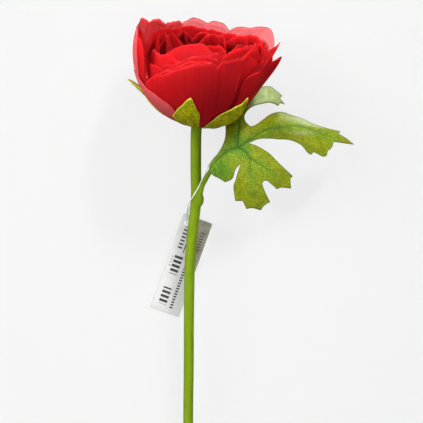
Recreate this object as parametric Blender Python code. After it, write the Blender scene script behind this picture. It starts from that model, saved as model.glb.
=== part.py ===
"""Persian buttercup: one full red bloom on a green stem, with its calyx, one cut leaf and a swing tag.

The flower lies on a surface, as a cut stem does: the back of the bloom and the stem's cut end carry it.
Units are metres, +Z is up. The origin is the middle of the flat spot that the bloom rests on, and the stem
runs away from it along -Y.
"""

import math
import random
from dataclasses import dataclass

import bmesh
import bpy
import numpy as np
from mathutils import Matrix, Vector
from mathutils.geometry import delaunay_2d_cdt

MM = 0.001

# How the flower lies.
STEM_SLOPE = math.radians(4.0)  # the stem rises towards the bloom
BLOOM_LIFT = math.radians(18.0)  # the bloom looks up from the stem's line
BLOOM_LEAN = math.radians(7.0)  # and leans to the leaf's side
FLAT_DEPTH = 1.5 * MM  # how far the surface presses the lowest petals flat
GAP = 0.35 * MM  # clearance between separate pieces

# Bloom, measured round its own axis from the point where the stem meets it.
BLOOM_RADIUS = 37.0 * MM
BLOOM_DEPTH = 38.0 * MM  # from the root to the bowl's widest ring
UNDER_DEPTH = 36.6 * MM  # the same in the ring under it
PETAL_THICKNESS = 0.8 * MM
PETAL_ROOT_RADIUS = 3.0 * MM
PETAL_ROUNDING = 0.13  # how far a petal's corners fall short of its rim
CORE_RADIUS = 5.5 * MM
CORE_FOOT = -0.9 * MM
CORE_HEIGHT = 17.0 * MM
PETAL_CELLS = 6
INNER_PETAL_CELLS = 5
BACK_PETAL_CELLS = 10
PETAL_SEED = 11
BLOOM_SOLVER = "EXACT"

# Calyx. A sepal's place round the bowl is in degrees from the front, towards the leaf's side.
SEPALS = [(-90, 0.97, 4.0), (-9, 1.0, 0.0), (38, 1.0, 3.0), (148, 0.72, 0.0), (208, 0.72, 0.0)]  # azimuth, length, flare
SEPAL_THICKNESS = 0.8 * MM
SEPAL_CLEARANCE = 2.6 * MM  # from the outer petals to the sepals, middle to middle
SEPAL_START = math.radians(1.0)
SEPAL_NOTCH = math.radians(12)  # where two sepals part
SEPAL_CLOSING = math.radians(66)  # how far round the bowl a sepal's tip reaches
SEPAL_CELLS = 8

# Stem, from the bloom down, in the flower's frame: x across, y along, z to the front.
STEM_LENGTH = 290.0 * MM
STEM_TOP_RADIUS = 2.85 * MM
STEM_CUT_RADIUS = 2.6 * MM
STEM_BENDS = [  # (across, along, to the front): the neck dips under the bloom, then the stem's slight curves
    (-0.6, -12.0, -1.9),
    (-0.6, -26.0, -1.1),
    (-0.5, -41.0, 0.0),
    (-2.6, -59.0, 0.0),
    (-3.8, -76.0, 0.0),
    (-4.2, -100.0, 0.0),
    (-4.3, -126.0, 0.0),
    (-4.6, -157.0, 0.0),
    (-4.4, -200.0, 0.0),
    (-3.0, -250.0, 0.0),
]
STEM_CUT_ACROSS = -1.0 * MM
STEM_TAPER_END = 150.0 * MM
STEM_STEP = 9.0 * MM
STEM_RESOLUTION = 5
STALK_RADIUS = 1.4 * MM
STALK_ROUTE = [
    (-0.4, -44.0, 0.6),
    (1.2, -39.0, 1.9),
    (2.6, -33.5, 2.7),
    (4.6, -29.6, 3.1),
    (6.9, -25.6, 3.5),
]
STALK_RESOLUTION = 3
NODE_RADIUS = 2.3 * MM  # the swelling where the stalk leaves the stem
NODE_CENTRE = (1.3, -40.2, 1.1)

# Leaf, in millimetres from its hub, where its ribs meet.
LEAF_HUB = Vector((21.3, -13.0, 0.0)) * MM
LEAF_THICKNESS = 0.8 * MM
LEAF_CELL = 5.0 * MM
TOP_LOBE = [
    (-14.4, -8.3), (-10.5, -3.4), (-8.2, 0.3), (-6.8, 4.0), (-6.3, 7.7), (-6.2, 10.9), (-3.9, 14.2),
    (-0.9, 18.6), (2.2, 23.2), (5.7, 27.6), (10.8, 31.0), (16.4, 31.9), (19.7, 29.8), (23.2, 27.0),
    (22.0, 25.6), (24.3, 22.5), (22.3, 23.2), (21.0, 21.6), (18.8, 22.8), (16.0, 23.4), (12.7, 22.8),
    (8.1, 21.4), (4.8, 18.9), (3.4, 16.1), (3.9, 13.3), (6.2, 10.8),
]
RIGHT_LOBE = [
    (8.3, 10.9), (12.7, 13.8), (16.4, 16.5), (19.8, 17.8), (23.4, 17.9), (27.0, 16.6), (32.6, 14.9),
    (39.1, 12.0), (45.3, 10.1), (53.4, 8.1), (52.3, 6.9), (56.3, 4.7), (60.6, 1.4), (56.3, 1.9),
    (49.7, 2.8), (49.3, 0.9), (48.0, -1.2), (46.7, -1.8), (46.1, -4.5), (44.0, -5.0), (39.3, -2.7),
    (37.9, -4.1), (35.8, -2.7), (32.6, 1.0), (27.0, 3.5), (21.6, 3.9), (16.1, 4.3), (10.4, 3.9),
    (5.6, 2.0),
]
LOW_LOBE = [
    (10.4, 0.3), (16.4, -3.4), (21.1, -8.1), (28.5, -15.2), (27.3, -16.6), (27.6, -21.5), (22.5, -21.1),
    (20.2, -22.0), (17.4, -19.4), (15.1, -17.6), (13.4, -17.6), (12.5, -19.0), (13.7, -22.5),
    (16.7, -28.5), (13.7, -30.4), (11.8, -32.9), (7.6, -31.7), (4.4, -32.2), (2.5, -28.0),
    (-1.4, -28.0), (-2.3, -20.6), (-1.2, -16.9), (1.1, -9.0),
]
BASE_LOBE = [(-1.3, -12.0), (-2.9, -16.4), (-6.6, -18.3), (-10.5, -16.0), (-12.9, -14.8), (-14.9, -12.4)]
LEAF_HEIGHTS = [  # (x, y, height to the front): the blade arches over its ribs and its lobes droop
    (-14.4, -11.2, 6.0), (-10.5, -3.4, 5.0), (0.0, 0.0, 6.0), (-6.3, 7.7, 2.5), (-6.2, 10.9, 0.0),
    (0.2, 9.6, 4.0), (0.7, 16.5, -0.5), (3.4, 21.2, -5.5), (8.1, 24.4, -9.0), (14.0, 27.0, -11.0),
    (22.5, 25.0, -14.0), (6.2, 10.8, 4.5), (3.4, 16.1, 1.0), (4.8, 18.9, -2.0), (12.7, 22.8, -9.5),
    (-4.9, 14.2, -4.8), (-2.4, 18.4, -10.5), (1.0, 23.4, -14.8), (5.7, 27.6, -15.0), (10.8, 31.0, -14.0),
    (12.7, 8.0, 7.5), (19.8, 17.8, 5.0), (23.0, 10.0, 9.5), (32.6, 14.9, 4.0), (34.0, 7.0, 7.5),
    (45.3, 10.1, -2.0), (47.0, 3.0, 0.5), (60.6, 1.4, -8.0), (21.6, 3.9, 7.0), (37.9, -4.1, 4.0),
    (9.0, -5.0, 6.5), (21.1, -8.1, 4.0), (27.6, -20.0, -1.5), (11.0, -14.0, 6.0), (8.0, -24.0, 3.5),
    (12.0, -33.0, -1.0), (-1.4, -28.0, -0.5), (-1.0, -12.0, 5.5), (-6.6, -18.3, 2.5),
]
RIBS = [  # each rib from the hub outwards: (x, y) points
    [(-13.8, -11.4), (-12.0, -8.6), (-6.0, -2.6), (0.0, 0.0)],
    [(0.0, 0.0), (0.3, 9.6), (0.8, 16.5), (4.2, 21.2), (9.6, 25.0), (17.0, 26.6)],
    [(0.0, 0.0), (6.0, 3.7), (12.7, 7.8), (20.2, 9.6), (32.2, 10.3), (42.0, 6.6), (51.0, 4.4)],
    [(0.0, 0.0), (4.4, -3.4), (6.0, -7.4), (7.0, -15.0), (7.4, -24.0)],
    [(5.6, -5.6), (11.8, -9.6), (19.0, -15.0)],
]
RIB_RADIUS = 1.0 * MM
RIB_TIP_RADIUS = 0.5 * MM

# Swing tag and its loop.
TAG_WIDTH = 16.0 * MM
TAG_LENGTH = 52.0 * MM
TAG_THICKNESS = 0.6 * MM
TAG_HOLE_RADIUS = 1.5 * MM
TAG_HOLE_FROM_SIDE = 3.2 * MM
TAG_HOLE_FROM_TOP = 4.2 * MM
TAG_TOP_MIDDLE = (0.6, -49.4)  # across and along the flower, in millimetres
TAG_TURN = math.radians(-20.0)
TAG_TOP_HEIGHT = 6.0 * MM  # the loop holds the tag's top end up off the surface
TAG_END_HEIGHT = 0.35 * MM
LOOP_RADIUS = 0.3 * MM
LOOP_STEP = 1.6 * MM
LOOP_KNOT_RADIUS = 0.8 * MM
LOOP_ROUTE = [  # from the knot behind the tag through its hole, up the stem's front, beside the stalk and back
    (-5.2, -49.6, -14.6),
    (-5.35, -52.0, -14.1),
    (-5.35, -52.6, -12.3),
    (-5.3, -51.0, -9.6),
    (-5.1, -46.6, -3.6),
    (-4.2, -42.4, 1.2),
    (-2.4, -39.2, 3.3),
    (0.5, -34.3, 4.1),
    (4.0, -26.9, 5.0),
    (6.0, -22.6, 4.3),
    (5.8, -22.6, 1.6),
    (4.0, -27.4, -1.6),
    (1.6, -33.2, -4.4),
    (-2.4, -41.6, -8.4),
    (-4.8, -46.8, -12.9),
    (-5.2, -49.6, -14.6),
]

# Colour and roughness of each material.
FINISHES = {
    "petal_red": ((0.62, 0.02, 0.03), 0.75),
    "sepal_green": ((0.34, 0.36, 0.03), 0.6),
    "stem_green": ((0.24, 0.38, 0.03), 0.45),
    "leaf_green": ((0.22, 0.33, 0.02), 0.5),
    "tag_card": ((0.82, 0.82, 0.82), 0.5),
    "loop_nylon": ((0.85, 0.88, 0.8), 0.25),
}


@dataclass
class Petal:
    """One petal of the bloom. Azimuths run from the front towards the leaf's side, in radians."""

    azimuth: float
    half_angle: float
    radius: float
    root_height: float
    depth: float
    closing: float
    tilt: float = 0.0
    taper: float = 0.0
    skew: float = 0.0
    hollow: float = 0.0
    flare: float = 0.0
    ruffle: float = 0.0
    phase: float = 0.0
    cells: int = PETAL_CELLS


def smooth(t):
    t = min(max(t, 0.0), 1.0)
    return t * t * (3 - 2 * t)


def petal_point(petal, u, v):
    """The petal's middle surface in the head's frame: u runs from -1 to 1 across it, v from root to rim."""
    phi = petal.closing * v * (1 - PETAL_ROUNDING * u**4 + petal.tilt * u)
    spread = (0.5 + 0.5 * smooth(v / 0.6)) * (1 - petal.taper * smooth(2 * v - 1))
    azimuth = petal.azimuth + u * petal.half_angle * spread
    radius = PETAL_ROOT_RADIUS + (petal.radius - PETAL_ROOT_RADIUS) * math.sin(phi)
    radius += petal.skew * u * v
    radius += petal.flare * v**3
    radius -= petal.hollow * math.sin(math.pi * v)
    radius += petal.ruffle * v**3 * math.sin(2.5 * math.pi * u + petal.phase)
    height = petal.root_height + petal.depth * (1 - math.cos(phi))
    return Vector((radius * math.sin(azimuth), -radius * math.cos(azimuth), height))


def outer_petals():
    """The petals that show from the side, each placed by hand: a ring and the ring under it."""
    ring = [  # azimuth, half angle, radius, closing, tilt, taper, skew, hollow, flare
        (-95, 50, 37.8, 107, 0.0, 0.28, -0.5, 0.0, 0.0),
        (-22, 34, 36.8, 91, 0.09, 0.0, 0.9, 0.0, 0.0),
        (62, 30, 36.8, 96, 0.04, 0.1, -0.9, 2.0, 1.0),
        (122, 32, 36.8, 99, 0.0, 0.0, 0.5, 1.5, 1.5),
        (180, 33, 36.8, 101, 0.0, 0.0, 0.0, 0.0, 0.0),
        (237, 30, 36.8, 102, 0.0, 0.0, 0.5, 0.0, 0.0),
    ]
    under = [
        (-58, 26, 33.6, 92, 0.0, 0.2, 0.0, 0.0, 0.0),
        (22, 32, 34.6, 97, 0.0, 0.0, 0.0, 0.0, 0.0),
        (97, 26, 34.8, 96, 0.0, 0.2, 0.0, 2.5, 4.5),
        (178, 34, 34.4, 103, 0.0, 0.0, 0.0, 0.0, 0.0),
        (246, 30, 34.4, 104, 0.0, 0.0, 0.0, 0.0, 0.0),
    ]
    petals = []
    for root_height, depth, rows in ((0.8, BLOOM_DEPTH, ring), (2.4, UNDER_DEPTH, under)):
        for azimuth, half, radius, closing, tilt, taper, skew, hollow, flare in rows:
            petal = Petal(
                azimuth=math.radians(azimuth),
                half_angle=math.radians(half),
                radius=radius * MM,
                root_height=root_height * MM,
                depth=depth,
                closing=math.radians(closing),
                tilt=tilt,
                taper=taper,
                skew=skew * MM,
                hollow=hollow * MM,
                flare=flare * MM,
            )
            if azimuth == 180:
                petal.cells = BACK_PETAL_CELLS
            petals.append(petal)
    return petals


def inner_petals():
    """The rings inside, closing towards the middle, with a seeded spread in their places and ruffles."""
    draw = random.Random(PETAL_SEED)
    rings = [  # petals, radius, root height, depth, closing
        (6, 30.0, 4.2, 33.0, 105),
        (6, 25.8, 5.9, 31.0, 108),
        (5, 21.4, 7.6, 29.0, 110),
        (5, 17.0, 9.3, 27.0, 112),
        (4, 12.6, 11.0, 25.0, 113),
        (4, 8.4, 12.7, 22.5, 114),
    ]
    petals = []
    for count, radius, root_height, depth, closing in rings:
        turn = draw.uniform(0, 2 * math.pi)
        for k in range(count):
            petal = Petal(
                azimuth=turn + 2 * math.pi * (k + draw.uniform(-0.12, 0.12)) / count,
                half_angle=math.radians(200 / count),
                radius=(radius + draw.uniform(-0.9, 0.9)) * MM,
                root_height=root_height * MM,
                depth=depth * MM,
                closing=math.radians(closing + draw.uniform(-7, 7)),
                skew=1.1 * MM,
                ruffle=draw.uniform(0.3, 1.0) * MM,
                phase=draw.uniform(0, 2 * math.pi),
                cells=INNER_PETAL_CELLS,
            )
            petals.append(petal)
    return petals


def blade(surface, columns, rows, thickness, press=None):
    """A closed thin solid on surface(u, v), with the same triangles on both of its faces."""
    step = 1e-4
    outer, inner = [], []
    for j in range(rows + 1):
        v = j / rows
        for i in range(columns + 1):
            u = 2 * i / columns - 1
            across = surface(u + step, v) - surface(u - step, v)
            along = surface(u, v + step) - surface(u, v - step)
            offset = across.cross(along).normalized() * thickness / 2
            outer.append(surface(u, v) + offset)
            inner.append(surface(u, v) - offset)
    if press:
        outer = [press(point, 0.0) for point in outer]
        inner = [press(point, thickness) for point in inner]
    return closed_sheet(outer, inner, columns, rows)


def closed_sheet(outer, inner, columns, rows):
    """Joins two alike grids of points into one closed mesh."""
    bm = bmesh.new()
    outer = [bm.verts.new(point) for point in outer]
    inner = [bm.verts.new(point) for point in inner]

    def at(i, j):
        return j * (columns + 1) + i

    for j in range(rows):
        for i in range(columns):
            corners = at(i, j), at(i + 1, j), at(i + 1, j + 1), at(i, j + 1)
            slant = (2 * i < columns) == (j % 2 == 0)
            for half in ((0, 1, 2), (0, 2, 3)) if slant else ((0, 1, 3), (1, 2, 3)):
                bm.faces.new([outer[corners[k]] for k in half])
                bm.faces.new([inner[corners[k]] for k in reversed(half)])
    rim = [at(i, 0) for i in range(columns)]
    rim += [at(columns, j) for j in range(rows)]
    rim += [at(i, rows) for i in range(columns, 0, -1)]
    rim += [at(0, j) for j in range(rows, 0, -1)]
    for a, b in zip(rim, rim[1:] + rim[:1]):
        bm.faces.new((inner[a], inner[b], outer[a]))
        bm.faces.new((inner[b], outer[b], outer[a]))
    bmesh.ops.recalc_face_normals(bm, faces=bm.faces)
    return bm


def add_object(name, bm, material=None, parent=None):
    """Turns a bmesh into an object, in its parent's frame."""
    mesh = bpy.data.meshes.new(name)
    bm.to_mesh(mesh)
    bm.free()
    obj = bpy.data.objects.new(name, mesh)
    bpy.context.collection.objects.link(obj)
    obj.parent = parent
    if material:
        mesh.materials.append(material)
    return obj


def add_material(name):
    colour, roughness = FINISHES[name]
    material = bpy.data.materials.new(name)
    material.use_nodes = True
    shader = material.node_tree.nodes["Principled BSDF"]
    shader.inputs["Base Color"].default_value = (*colour, 1)
    shader.inputs["Roughness"].default_value = roughness
    return material


def add_empty(name, matrix, parent=None):
    empty = bpy.data.objects.new(name, None)
    bpy.context.collection.objects.link(empty)
    empty.parent = parent
    empty.matrix_local = matrix
    empty.empty_display_size = 0.02
    return empty


def fuse(obj, others, solver="EXACT"):
    """Joins the other objects to this one in one Boolean union, and removes them."""
    joined = bpy.data.collections.new(obj.name + "_pieces")
    bpy.context.scene.collection.children.link(joined)
    for other in others:
        bpy.context.collection.objects.unlink(other)
        joined.objects.link(other)
    union = obj.modifiers.new("Join", "BOOLEAN")
    union.operation = "UNION"
    union.operand_type = "COLLECTION"
    union.collection = joined
    union.solver = solver
    apply_modifiers(obj)
    for other in others:
        bpy.data.objects.remove(other)
    bpy.data.collections.remove(joined)
    keep_outer_shell(obj.data)


def keep_outer_shell(mesh):
    """Fills the hollows that a union sealed and drops any loose scrap: only the largest shell stays."""
    bm = bmesh.new()
    bm.from_mesh(mesh)
    left = set(bm.verts)
    shells = []
    while left:
        shell = {left.pop()}
        edge = list(shell)
        while edge:
            near = {e.other_vert(v) for v in edge for e in v.link_edges} - shell
            shell |= near
            edge = list(near)
        left -= shell
        shells.append(shell)
    shells.sort(key=len)
    loose = [v for shell in shells[:-1] for v in shell]
    bmesh.ops.delete(bm, geom=loose, context="VERTS")
    bm.to_mesh(mesh)
    bm.free()


def apply_modifiers(obj):
    bpy.context.view_layer.update()
    mesh = bpy.data.meshes.new_from_object(obj.evaluated_get(bpy.context.evaluated_depsgraph_get()))
    obj.modifiers.clear()
    obj.data = mesh


def smooth_curve(points, step):
    """Points about one step apart on a smooth curve through the given ones."""
    ends = [2 * points[0] - points[1]] + list(points) + [2 * points[-1] - points[-2]]
    result = [points[0]]
    for a, b, c, d in zip(ends, ends[1:], ends[2:], ends[3:]):
        pieces = max(1, round((c - b).length / step))
        for k in range(1, pieces + 1):
            t = k / pieces
            bend = (2 * a - 5 * b + 4 * c - d) * t**2 + (3 * b - a - 3 * c + d) * t**3
            result.append(b + ((c - a) * t + bend) / 2)
    return result


def add_tube(name, points, radii, material, parent, resolution=2):
    """A round tube along the points, with a radius at each of them."""
    curve = bpy.data.curves.new(name, "CURVE")
    curve.dimensions = "3D"
    curve.bevel_depth = max(radii)
    curve.bevel_resolution = resolution
    curve.use_fill_caps = True
    spline = curve.splines.new("POLY")
    spline.points.add(len(points) - 1)
    for at, point, radius in zip(spline.points, points, radii):
        at.co = (*point, 1)
        at.radius = radius / max(radii)
    tube = bpy.data.objects.new(name, curve)
    bpy.context.collection.objects.link(tube)
    bpy.context.view_layer.update()
    mesh = bpy.data.meshes.new_from_object(tube.evaluated_get(bpy.context.evaluated_depsgraph_get()))
    bpy.data.objects.remove(tube)
    bpy.data.curves.remove(curve)
    bm = bmesh.new()
    bm.from_mesh(mesh)
    bpy.data.meshes.remove(mesh)
    bmesh.ops.remove_doubles(bm, verts=bm.verts, dist=1e-7)
    bmesh.ops.recalc_face_normals(bm, faces=bm.faces)
    return add_object(name, bm, material, parent)


def head_turn():
    """From the bloom's own axis, standing along +Z, to where it looks in the flower's frame."""
    return Matrix.Rotation(-BLOOM_LEAN, 4, "Z") @ Matrix.Rotation(BLOOM_LIFT - math.radians(90), 4, "X")


def settle(petals):
    """The flower's place, so that the surface presses the lowest petal flat round the origin."""
    turn = Matrix.Rotation(STEM_SLOPE, 4, "X")
    lowest = Vector((0, 0, 0))
    for petal in petals:
        for i in range(61):
            for j in range(61):
                point = turn @ head_turn() @ petal_point(petal, i / 30 - 1, j / 60)
                if point.z < lowest.z:
                    lowest = point
    lowest.z += FLAT_DEPTH - PETAL_THICKNESS / 2
    return Matrix.Translation(-lowest) @ turn


def presser(head):
    """A function that lifts a point of the head's frame to a clearance above the surface it lies on."""
    matrix = head.matrix_world.copy()
    up = matrix.to_3x3().transposed() @ Vector((0, 0, 1))

    def press(point, clearance):
        low = clearance - (matrix @ point).z
        return point + up * low if low > 0 else point

    return press


def add_bloom(head, petals, material):
    """All petals, in rings on a small core, fused into one body."""
    bm = bmesh.new()
    bmesh.ops.create_cone(
        bm,
        cap_ends=True,
        segments=20,
        radius1=CORE_RADIUS,
        radius2=CORE_RADIUS,
        depth=CORE_HEIGHT - CORE_FOOT,
        matrix=Matrix.Translation((0, 0, (CORE_HEIGHT + CORE_FOOT) / 2)),
    )
    bmesh.ops.triangulate(bm, faces=bm.faces)
    bloom = add_object("bloom", bm, material, head)
    press = presser(head)
    pieces = []
    for number, petal in enumerate(petals):

        def surface(u, v, petal=petal):
            return petal_point(petal, u, v)

        solid = blade(surface, petal.cells, petal.cells, PETAL_THICKNESS, press)
        pieces.append(add_object(f"petal_{number}", solid, parent=head))
    fuse(bloom, pieces, BLOOM_SOLVER)
    return bloom


def sepal_reach(q):
    """How far a sepal's outline reaches, from the notch between two sepals (q = 1 or -1) to its tip (q = 0)."""
    return SEPAL_NOTCH + (SEPAL_CLOSING - SEPAL_NOTCH) * (1 - abs(q) ** 1.3) ** 1.6


def add_calyx(head, material):
    """Five pointed sepals, grown together round the stem, that hold the back of the bloom."""
    stations = [-1.0, -0.72, -0.46, -0.24, -0.09, 0.0, 0.09, 0.24, 0.46, 0.72]
    columns = []  # azimuth, reach, tip flare
    for number, (azimuth, length, flare) in enumerate(SEPALS):
        before = (SEPALS[number - 1][0] - azimuth - 180) % 360 - 180
        after = (SEPALS[(number + 1) % len(SEPALS)][0] - azimuth + 180) % 360 - 180
        for q in stations:
            half = before / 2 if q < 0 else after / 2
            turned = math.radians(azimuth + abs(q) * half)
            columns.append((turned, length, flare, q))

    def middle(column, t):
        turned, length, flare, q = column
        phi = SEPAL_START + (sepal_reach(q) * length - SEPAL_START) * t
        out = SEPAL_CLEARANCE + flare * MM * smooth((phi / SEPAL_CLOSING - 0.6) / 0.6)
        radius = PETAL_ROOT_RADIUS + (BLOOM_RADIUS - PETAL_ROOT_RADIUS + out) * math.sin(phi)
        height = 0.8 * MM - out + (BLOOM_DEPTH + out) * (1 - math.cos(phi))
        return Vector((radius * math.sin(turned), -radius * math.cos(turned), height))

    bm = bmesh.new()
    count = len(columns)
    faces = ([], [])
    for number, column in enumerate(columns):
        for j in range(SEPAL_CELLS + 1):
            t = j / SEPAL_CELLS
            along = middle(column, t + 1e-3) - middle(column, t - 1e-3)
            turned = column[0]
            across = Vector((math.cos(turned), math.sin(turned), 0))
            offset = across.cross(along).normalized() * SEPAL_THICKNESS / 2
            faces[0].append(bm.verts.new(middle(column, t) + offset))
            faces[1].append(bm.verts.new(middle(column, t) - offset))

    def at(i, j):
        return (i % count) * (SEPAL_CELLS + 1) + j

    for i in range(count):
        for j in range(SEPAL_CELLS):
            corners = at(i, j), at(i + 1, j), at(i + 1, j + 1), at(i, j + 1)
            slant = i % len(stations) >= len(stations) / 2
            for half in ((0, 1, 2), (0, 2, 3)) if slant else ((0, 1, 3), (1, 2, 3)):
                bm.faces.new([faces[0][corners[k]] for k in half])
                bm.faces.new([faces[1][corners[k]] for k in reversed(half)])
        for j in (0, SEPAL_CELLS):
            a, b = at(i, j), at(i + 1, j)
            bm.faces.new((faces[0][a], faces[0][b], faces[1][a]))
            bm.faces.new((faces[0][b], faces[1][b], faces[1][a]))
    bmesh.ops.recalc_face_normals(bm, faces=bm.faces)
    return add_object("calyx", bm, material, head)


def add_stem(flower, head, material):
    """The stem from its cut end to the bloom, and the leaf's stalk that branches off it."""
    axis = (head.matrix_local.to_3x3() @ Vector((0, 0, 1))).normalized()
    neck = [axis * (CORE_FOOT - GAP), axis * (CORE_FOOT - 4 * MM)]
    points = neck + [Vector(bend) * MM for bend in STEM_BENDS]
    slope = Vector((0, math.cos(STEM_SLOPE), math.sin(STEM_SLOPE)))
    cut = Vector((STEM_CUT_ACROSS, -STEM_LENGTH, 0))
    cut.z = (STEM_CUT_RADIUS - (flower.matrix_world @ cut).z) / slope.y
    points.append(cut)
    points = smooth_curve(points, STEM_STEP)
    radii = [STEM_TOP_RADIUS + (STEM_CUT_RADIUS - STEM_TOP_RADIUS) * min(1, -p.y / STEM_TAPER_END) for p in points]
    stem = add_tube("stem", points, radii, material, flower, STEM_RESOLUTION)
    route = smooth_curve([Vector(p) * MM for p in STALK_ROUTE], 2.5 * MM)
    stalk = add_tube("stalk", route, [STALK_RADIUS] * len(route), None, flower, STALK_RESOLUTION)
    bm = bmesh.new()
    bmesh.ops.create_uvsphere(
        bm,
        u_segments=12,
        v_segments=8,
        radius=NODE_RADIUS,
        matrix=Matrix.Translation(Vector(NODE_CENTRE) * MM) @ Matrix.Diagonal((1, 1.7, 1, 1)),
    )
    swelling = add_object("swelling", bm, None, flower)
    fuse(stem, [stalk, swelling])
    return stem


def height_field(samples):
    """A thin sheet's smooth height through the given (x, y, height) points."""
    known = np.array(samples) * MM
    count = len(known)

    def kernel(a, b):
        squared = ((a[:, None, :] - b[None, :, :]) ** 2).sum(axis=2) + 1e-12
        return squared * np.log(squared)

    system = np.zeros((count + 3, count + 3))
    plane = np.column_stack((np.ones(count), known[:, :2]))
    system[:count, :count] = kernel(known[:, :2], known[:, :2])
    system[:count, count:] = plane
    system[count:, :count] = plane.T
    weights = np.linalg.solve(system, np.concatenate((known[:, 2], np.zeros(3))))

    def height(x, y):
        spot = np.array([[x, y]])
        bend = kernel(spot, known[:, :2]) @ weights[:count]
        return float(bend[0] + weights[count] + weights[count + 1] * x + weights[count + 2] * y)

    return height


def inside(point, outline):
    """Whether a flat point lies in the outline and well clear of its edges."""
    hits = 0
    for a, b in zip(outline, outline[1:] + outline[:1]):
        if (a.y > point.y) != (b.y > point.y):
            hits += point.x < a.x + (b.x - a.x) * (point.y - a.y) / (b.y - a.y)
        side = b - a
        t = min(max((point - a).dot(side) / side.length_squared, 0), 1)
        if (point - a - side * t).length < 0.4 * LEAF_CELL:
            return False
    return hits % 2 == 1


def add_leaf(flower, material):
    """The cut leaf: a thin blade that arches over its ribs, with the ribs standing out of its underside."""
    outline = [Vector(p) * MM for p in TOP_LOBE + RIGHT_LOBE + LOW_LOBE + BASE_LOBE]
    height = height_field(LEAF_HEIGHTS)
    spots = list(outline)
    for row in range(-9, 10):
        for column in range(-5, 15):
            spot = Vector((column + 0.5 * (row % 2), row * 0.866)) * LEAF_CELL
            if inside(spot, outline):
                spots.append(spot)
    edges = [(k, (k + 1) % len(outline)) for k in range(len(outline))]
    spots, _, triangles, _, _, _ = delaunay_2d_cdt(spots, edges, [], 1, 1e-7)
    sheet = bmesh.new()
    verts = [sheet.verts.new((p.x, p.y, height(p.x, p.y))) for p in spots]
    for triangle in triangles:
        sheet.faces.new([verts[k] for k in triangle])
    sheet.normal_update()
    bm = bmesh.new()
    top = [bm.verts.new(v.co + v.normal * LEAF_THICKNESS / 2) for v in verts]
    under = [bm.verts.new(v.co - v.normal * LEAF_THICKNESS / 2) for v in verts]
    for triangle in triangles:
        bm.faces.new([top[k] for k in triangle])
        bm.faces.new([under[k] for k in reversed(triangle)])
    sheet.verts.index_update()
    for edge in sheet.edges:
        if edge.is_boundary:
            a, b = (v.index for v in edge.verts)
            bm.faces.new((top[a], top[b], under[a]))
            bm.faces.new((top[b], under[b], under[a]))
    sheet.free()
    bmesh.ops.recalc_face_normals(bm, faces=bm.faces)
    leaf = add_object("leaf", bm, material, flower)
    leaf.location = LEAF_HUB
    ribs = []
    for number, rib in enumerate(RIBS):
        flat = smooth_curve([Vector((x, y, 0)) * MM for x, y in rib], 3 * MM)
        radii = []
        for k, point in enumerate(flat):
            radii.append(RIB_RADIUS + (RIB_TIP_RADIUS - RIB_RADIUS) * k / len(flat) * (number > 0))
            point.z = height(point.x, point.y) - radii[k] + 0.1 * MM
        tube = add_tube(f"rib_{number}", flat, radii, None, flower)
        tube.location = LEAF_HUB
        ribs.append(tube)
    fuse(leaf, ribs)
    return leaf


def add_tag(flower, material):
    """A plain card with one hole, its far end on the surface and its near end held up by the loop."""
    tilt = math.asin((TAG_TOP_HEIGHT - TAG_END_HEIGHT) / TAG_LENGTH)
    top = flower.matrix_world @ (Vector((*TAG_TOP_MIDDLE, 0)) * MM)
    top.z = TAG_TOP_HEIGHT
    turn = Matrix.Rotation(TAG_TURN, 4, "Z") @ Matrix.Rotation(tilt, 4, "X")
    bm = bmesh.new()
    card = Matrix.Diagonal((TAG_WIDTH, TAG_LENGTH, TAG_THICKNESS, 1))
    bmesh.ops.create_cube(bm, size=1, matrix=Matrix.Translation((0, -TAG_LENGTH / 2, 0)) @ card)
    tag = add_object("tag", bm, material)
    tag.matrix_world = Matrix.Translation(top) @ turn
    bm = bmesh.new()
    bmesh.ops.create_cone(
        bm,
        cap_ends=True,
        segments=20,
        radius1=TAG_HOLE_RADIUS,
        radius2=TAG_HOLE_RADIUS,
        depth=6 * TAG_THICKNESS,
        matrix=Matrix.Translation((TAG_HOLE_FROM_SIDE - TAG_WIDTH / 2, -TAG_HOLE_FROM_TOP, 0)),
    )
    cutter = add_object("tag_hole", bm)
    cutter.matrix_world = tag.matrix_world
    cutter.hide_render = True
    cutter.display_type = "WIRE"
    hole = tag.modifiers.new("Hole", "BOOLEAN")
    hole.operation = "DIFFERENCE"
    hole.object = cutter
    return tag


def add_loop(flower, material):
    """The thread that holds the tag: from its knot through the tag's hole, round the stem and back."""
    points = smooth_curve([Vector(p) * MM for p in LOOP_ROUTE], LOOP_STEP)
    loop = add_tube("tag_loop", points, [LOOP_RADIUS] * len(points), material, flower)
    bm = bmesh.new()
    knot = Matrix.Translation(points[0])
    bmesh.ops.create_uvsphere(bm, u_segments=12, v_segments=8, radius=LOOP_KNOT_RADIUS, matrix=knot)
    fuse(loop, [add_object("knot", bm, None, flower)])
    return loop


def build():
    for obj in list(bpy.data.objects):
        bpy.data.objects.remove(obj)
    petals = outer_petals() + inner_petals()
    flower = add_empty("flower", settle(outer_petals()))
    head = add_empty("head", head_turn(), flower)
    bpy.context.view_layer.update()
    add_bloom(head, petals, add_material("petal_red"))
    add_calyx(head, add_material("sepal_green"))
    add_stem(flower, head, add_material("stem_green"))
    add_leaf(flower, add_material("leaf_green"))
    add_tag(flower, add_material("tag_card"))
    add_loop(flower, add_material("loop_nylon"))


build()
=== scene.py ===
import math
import random
from dataclasses import dataclass

import bmesh
import bpy
import numpy as np
from mathutils import Matrix, Vector
from mathutils.geometry import delaunay_2d_cdt


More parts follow.
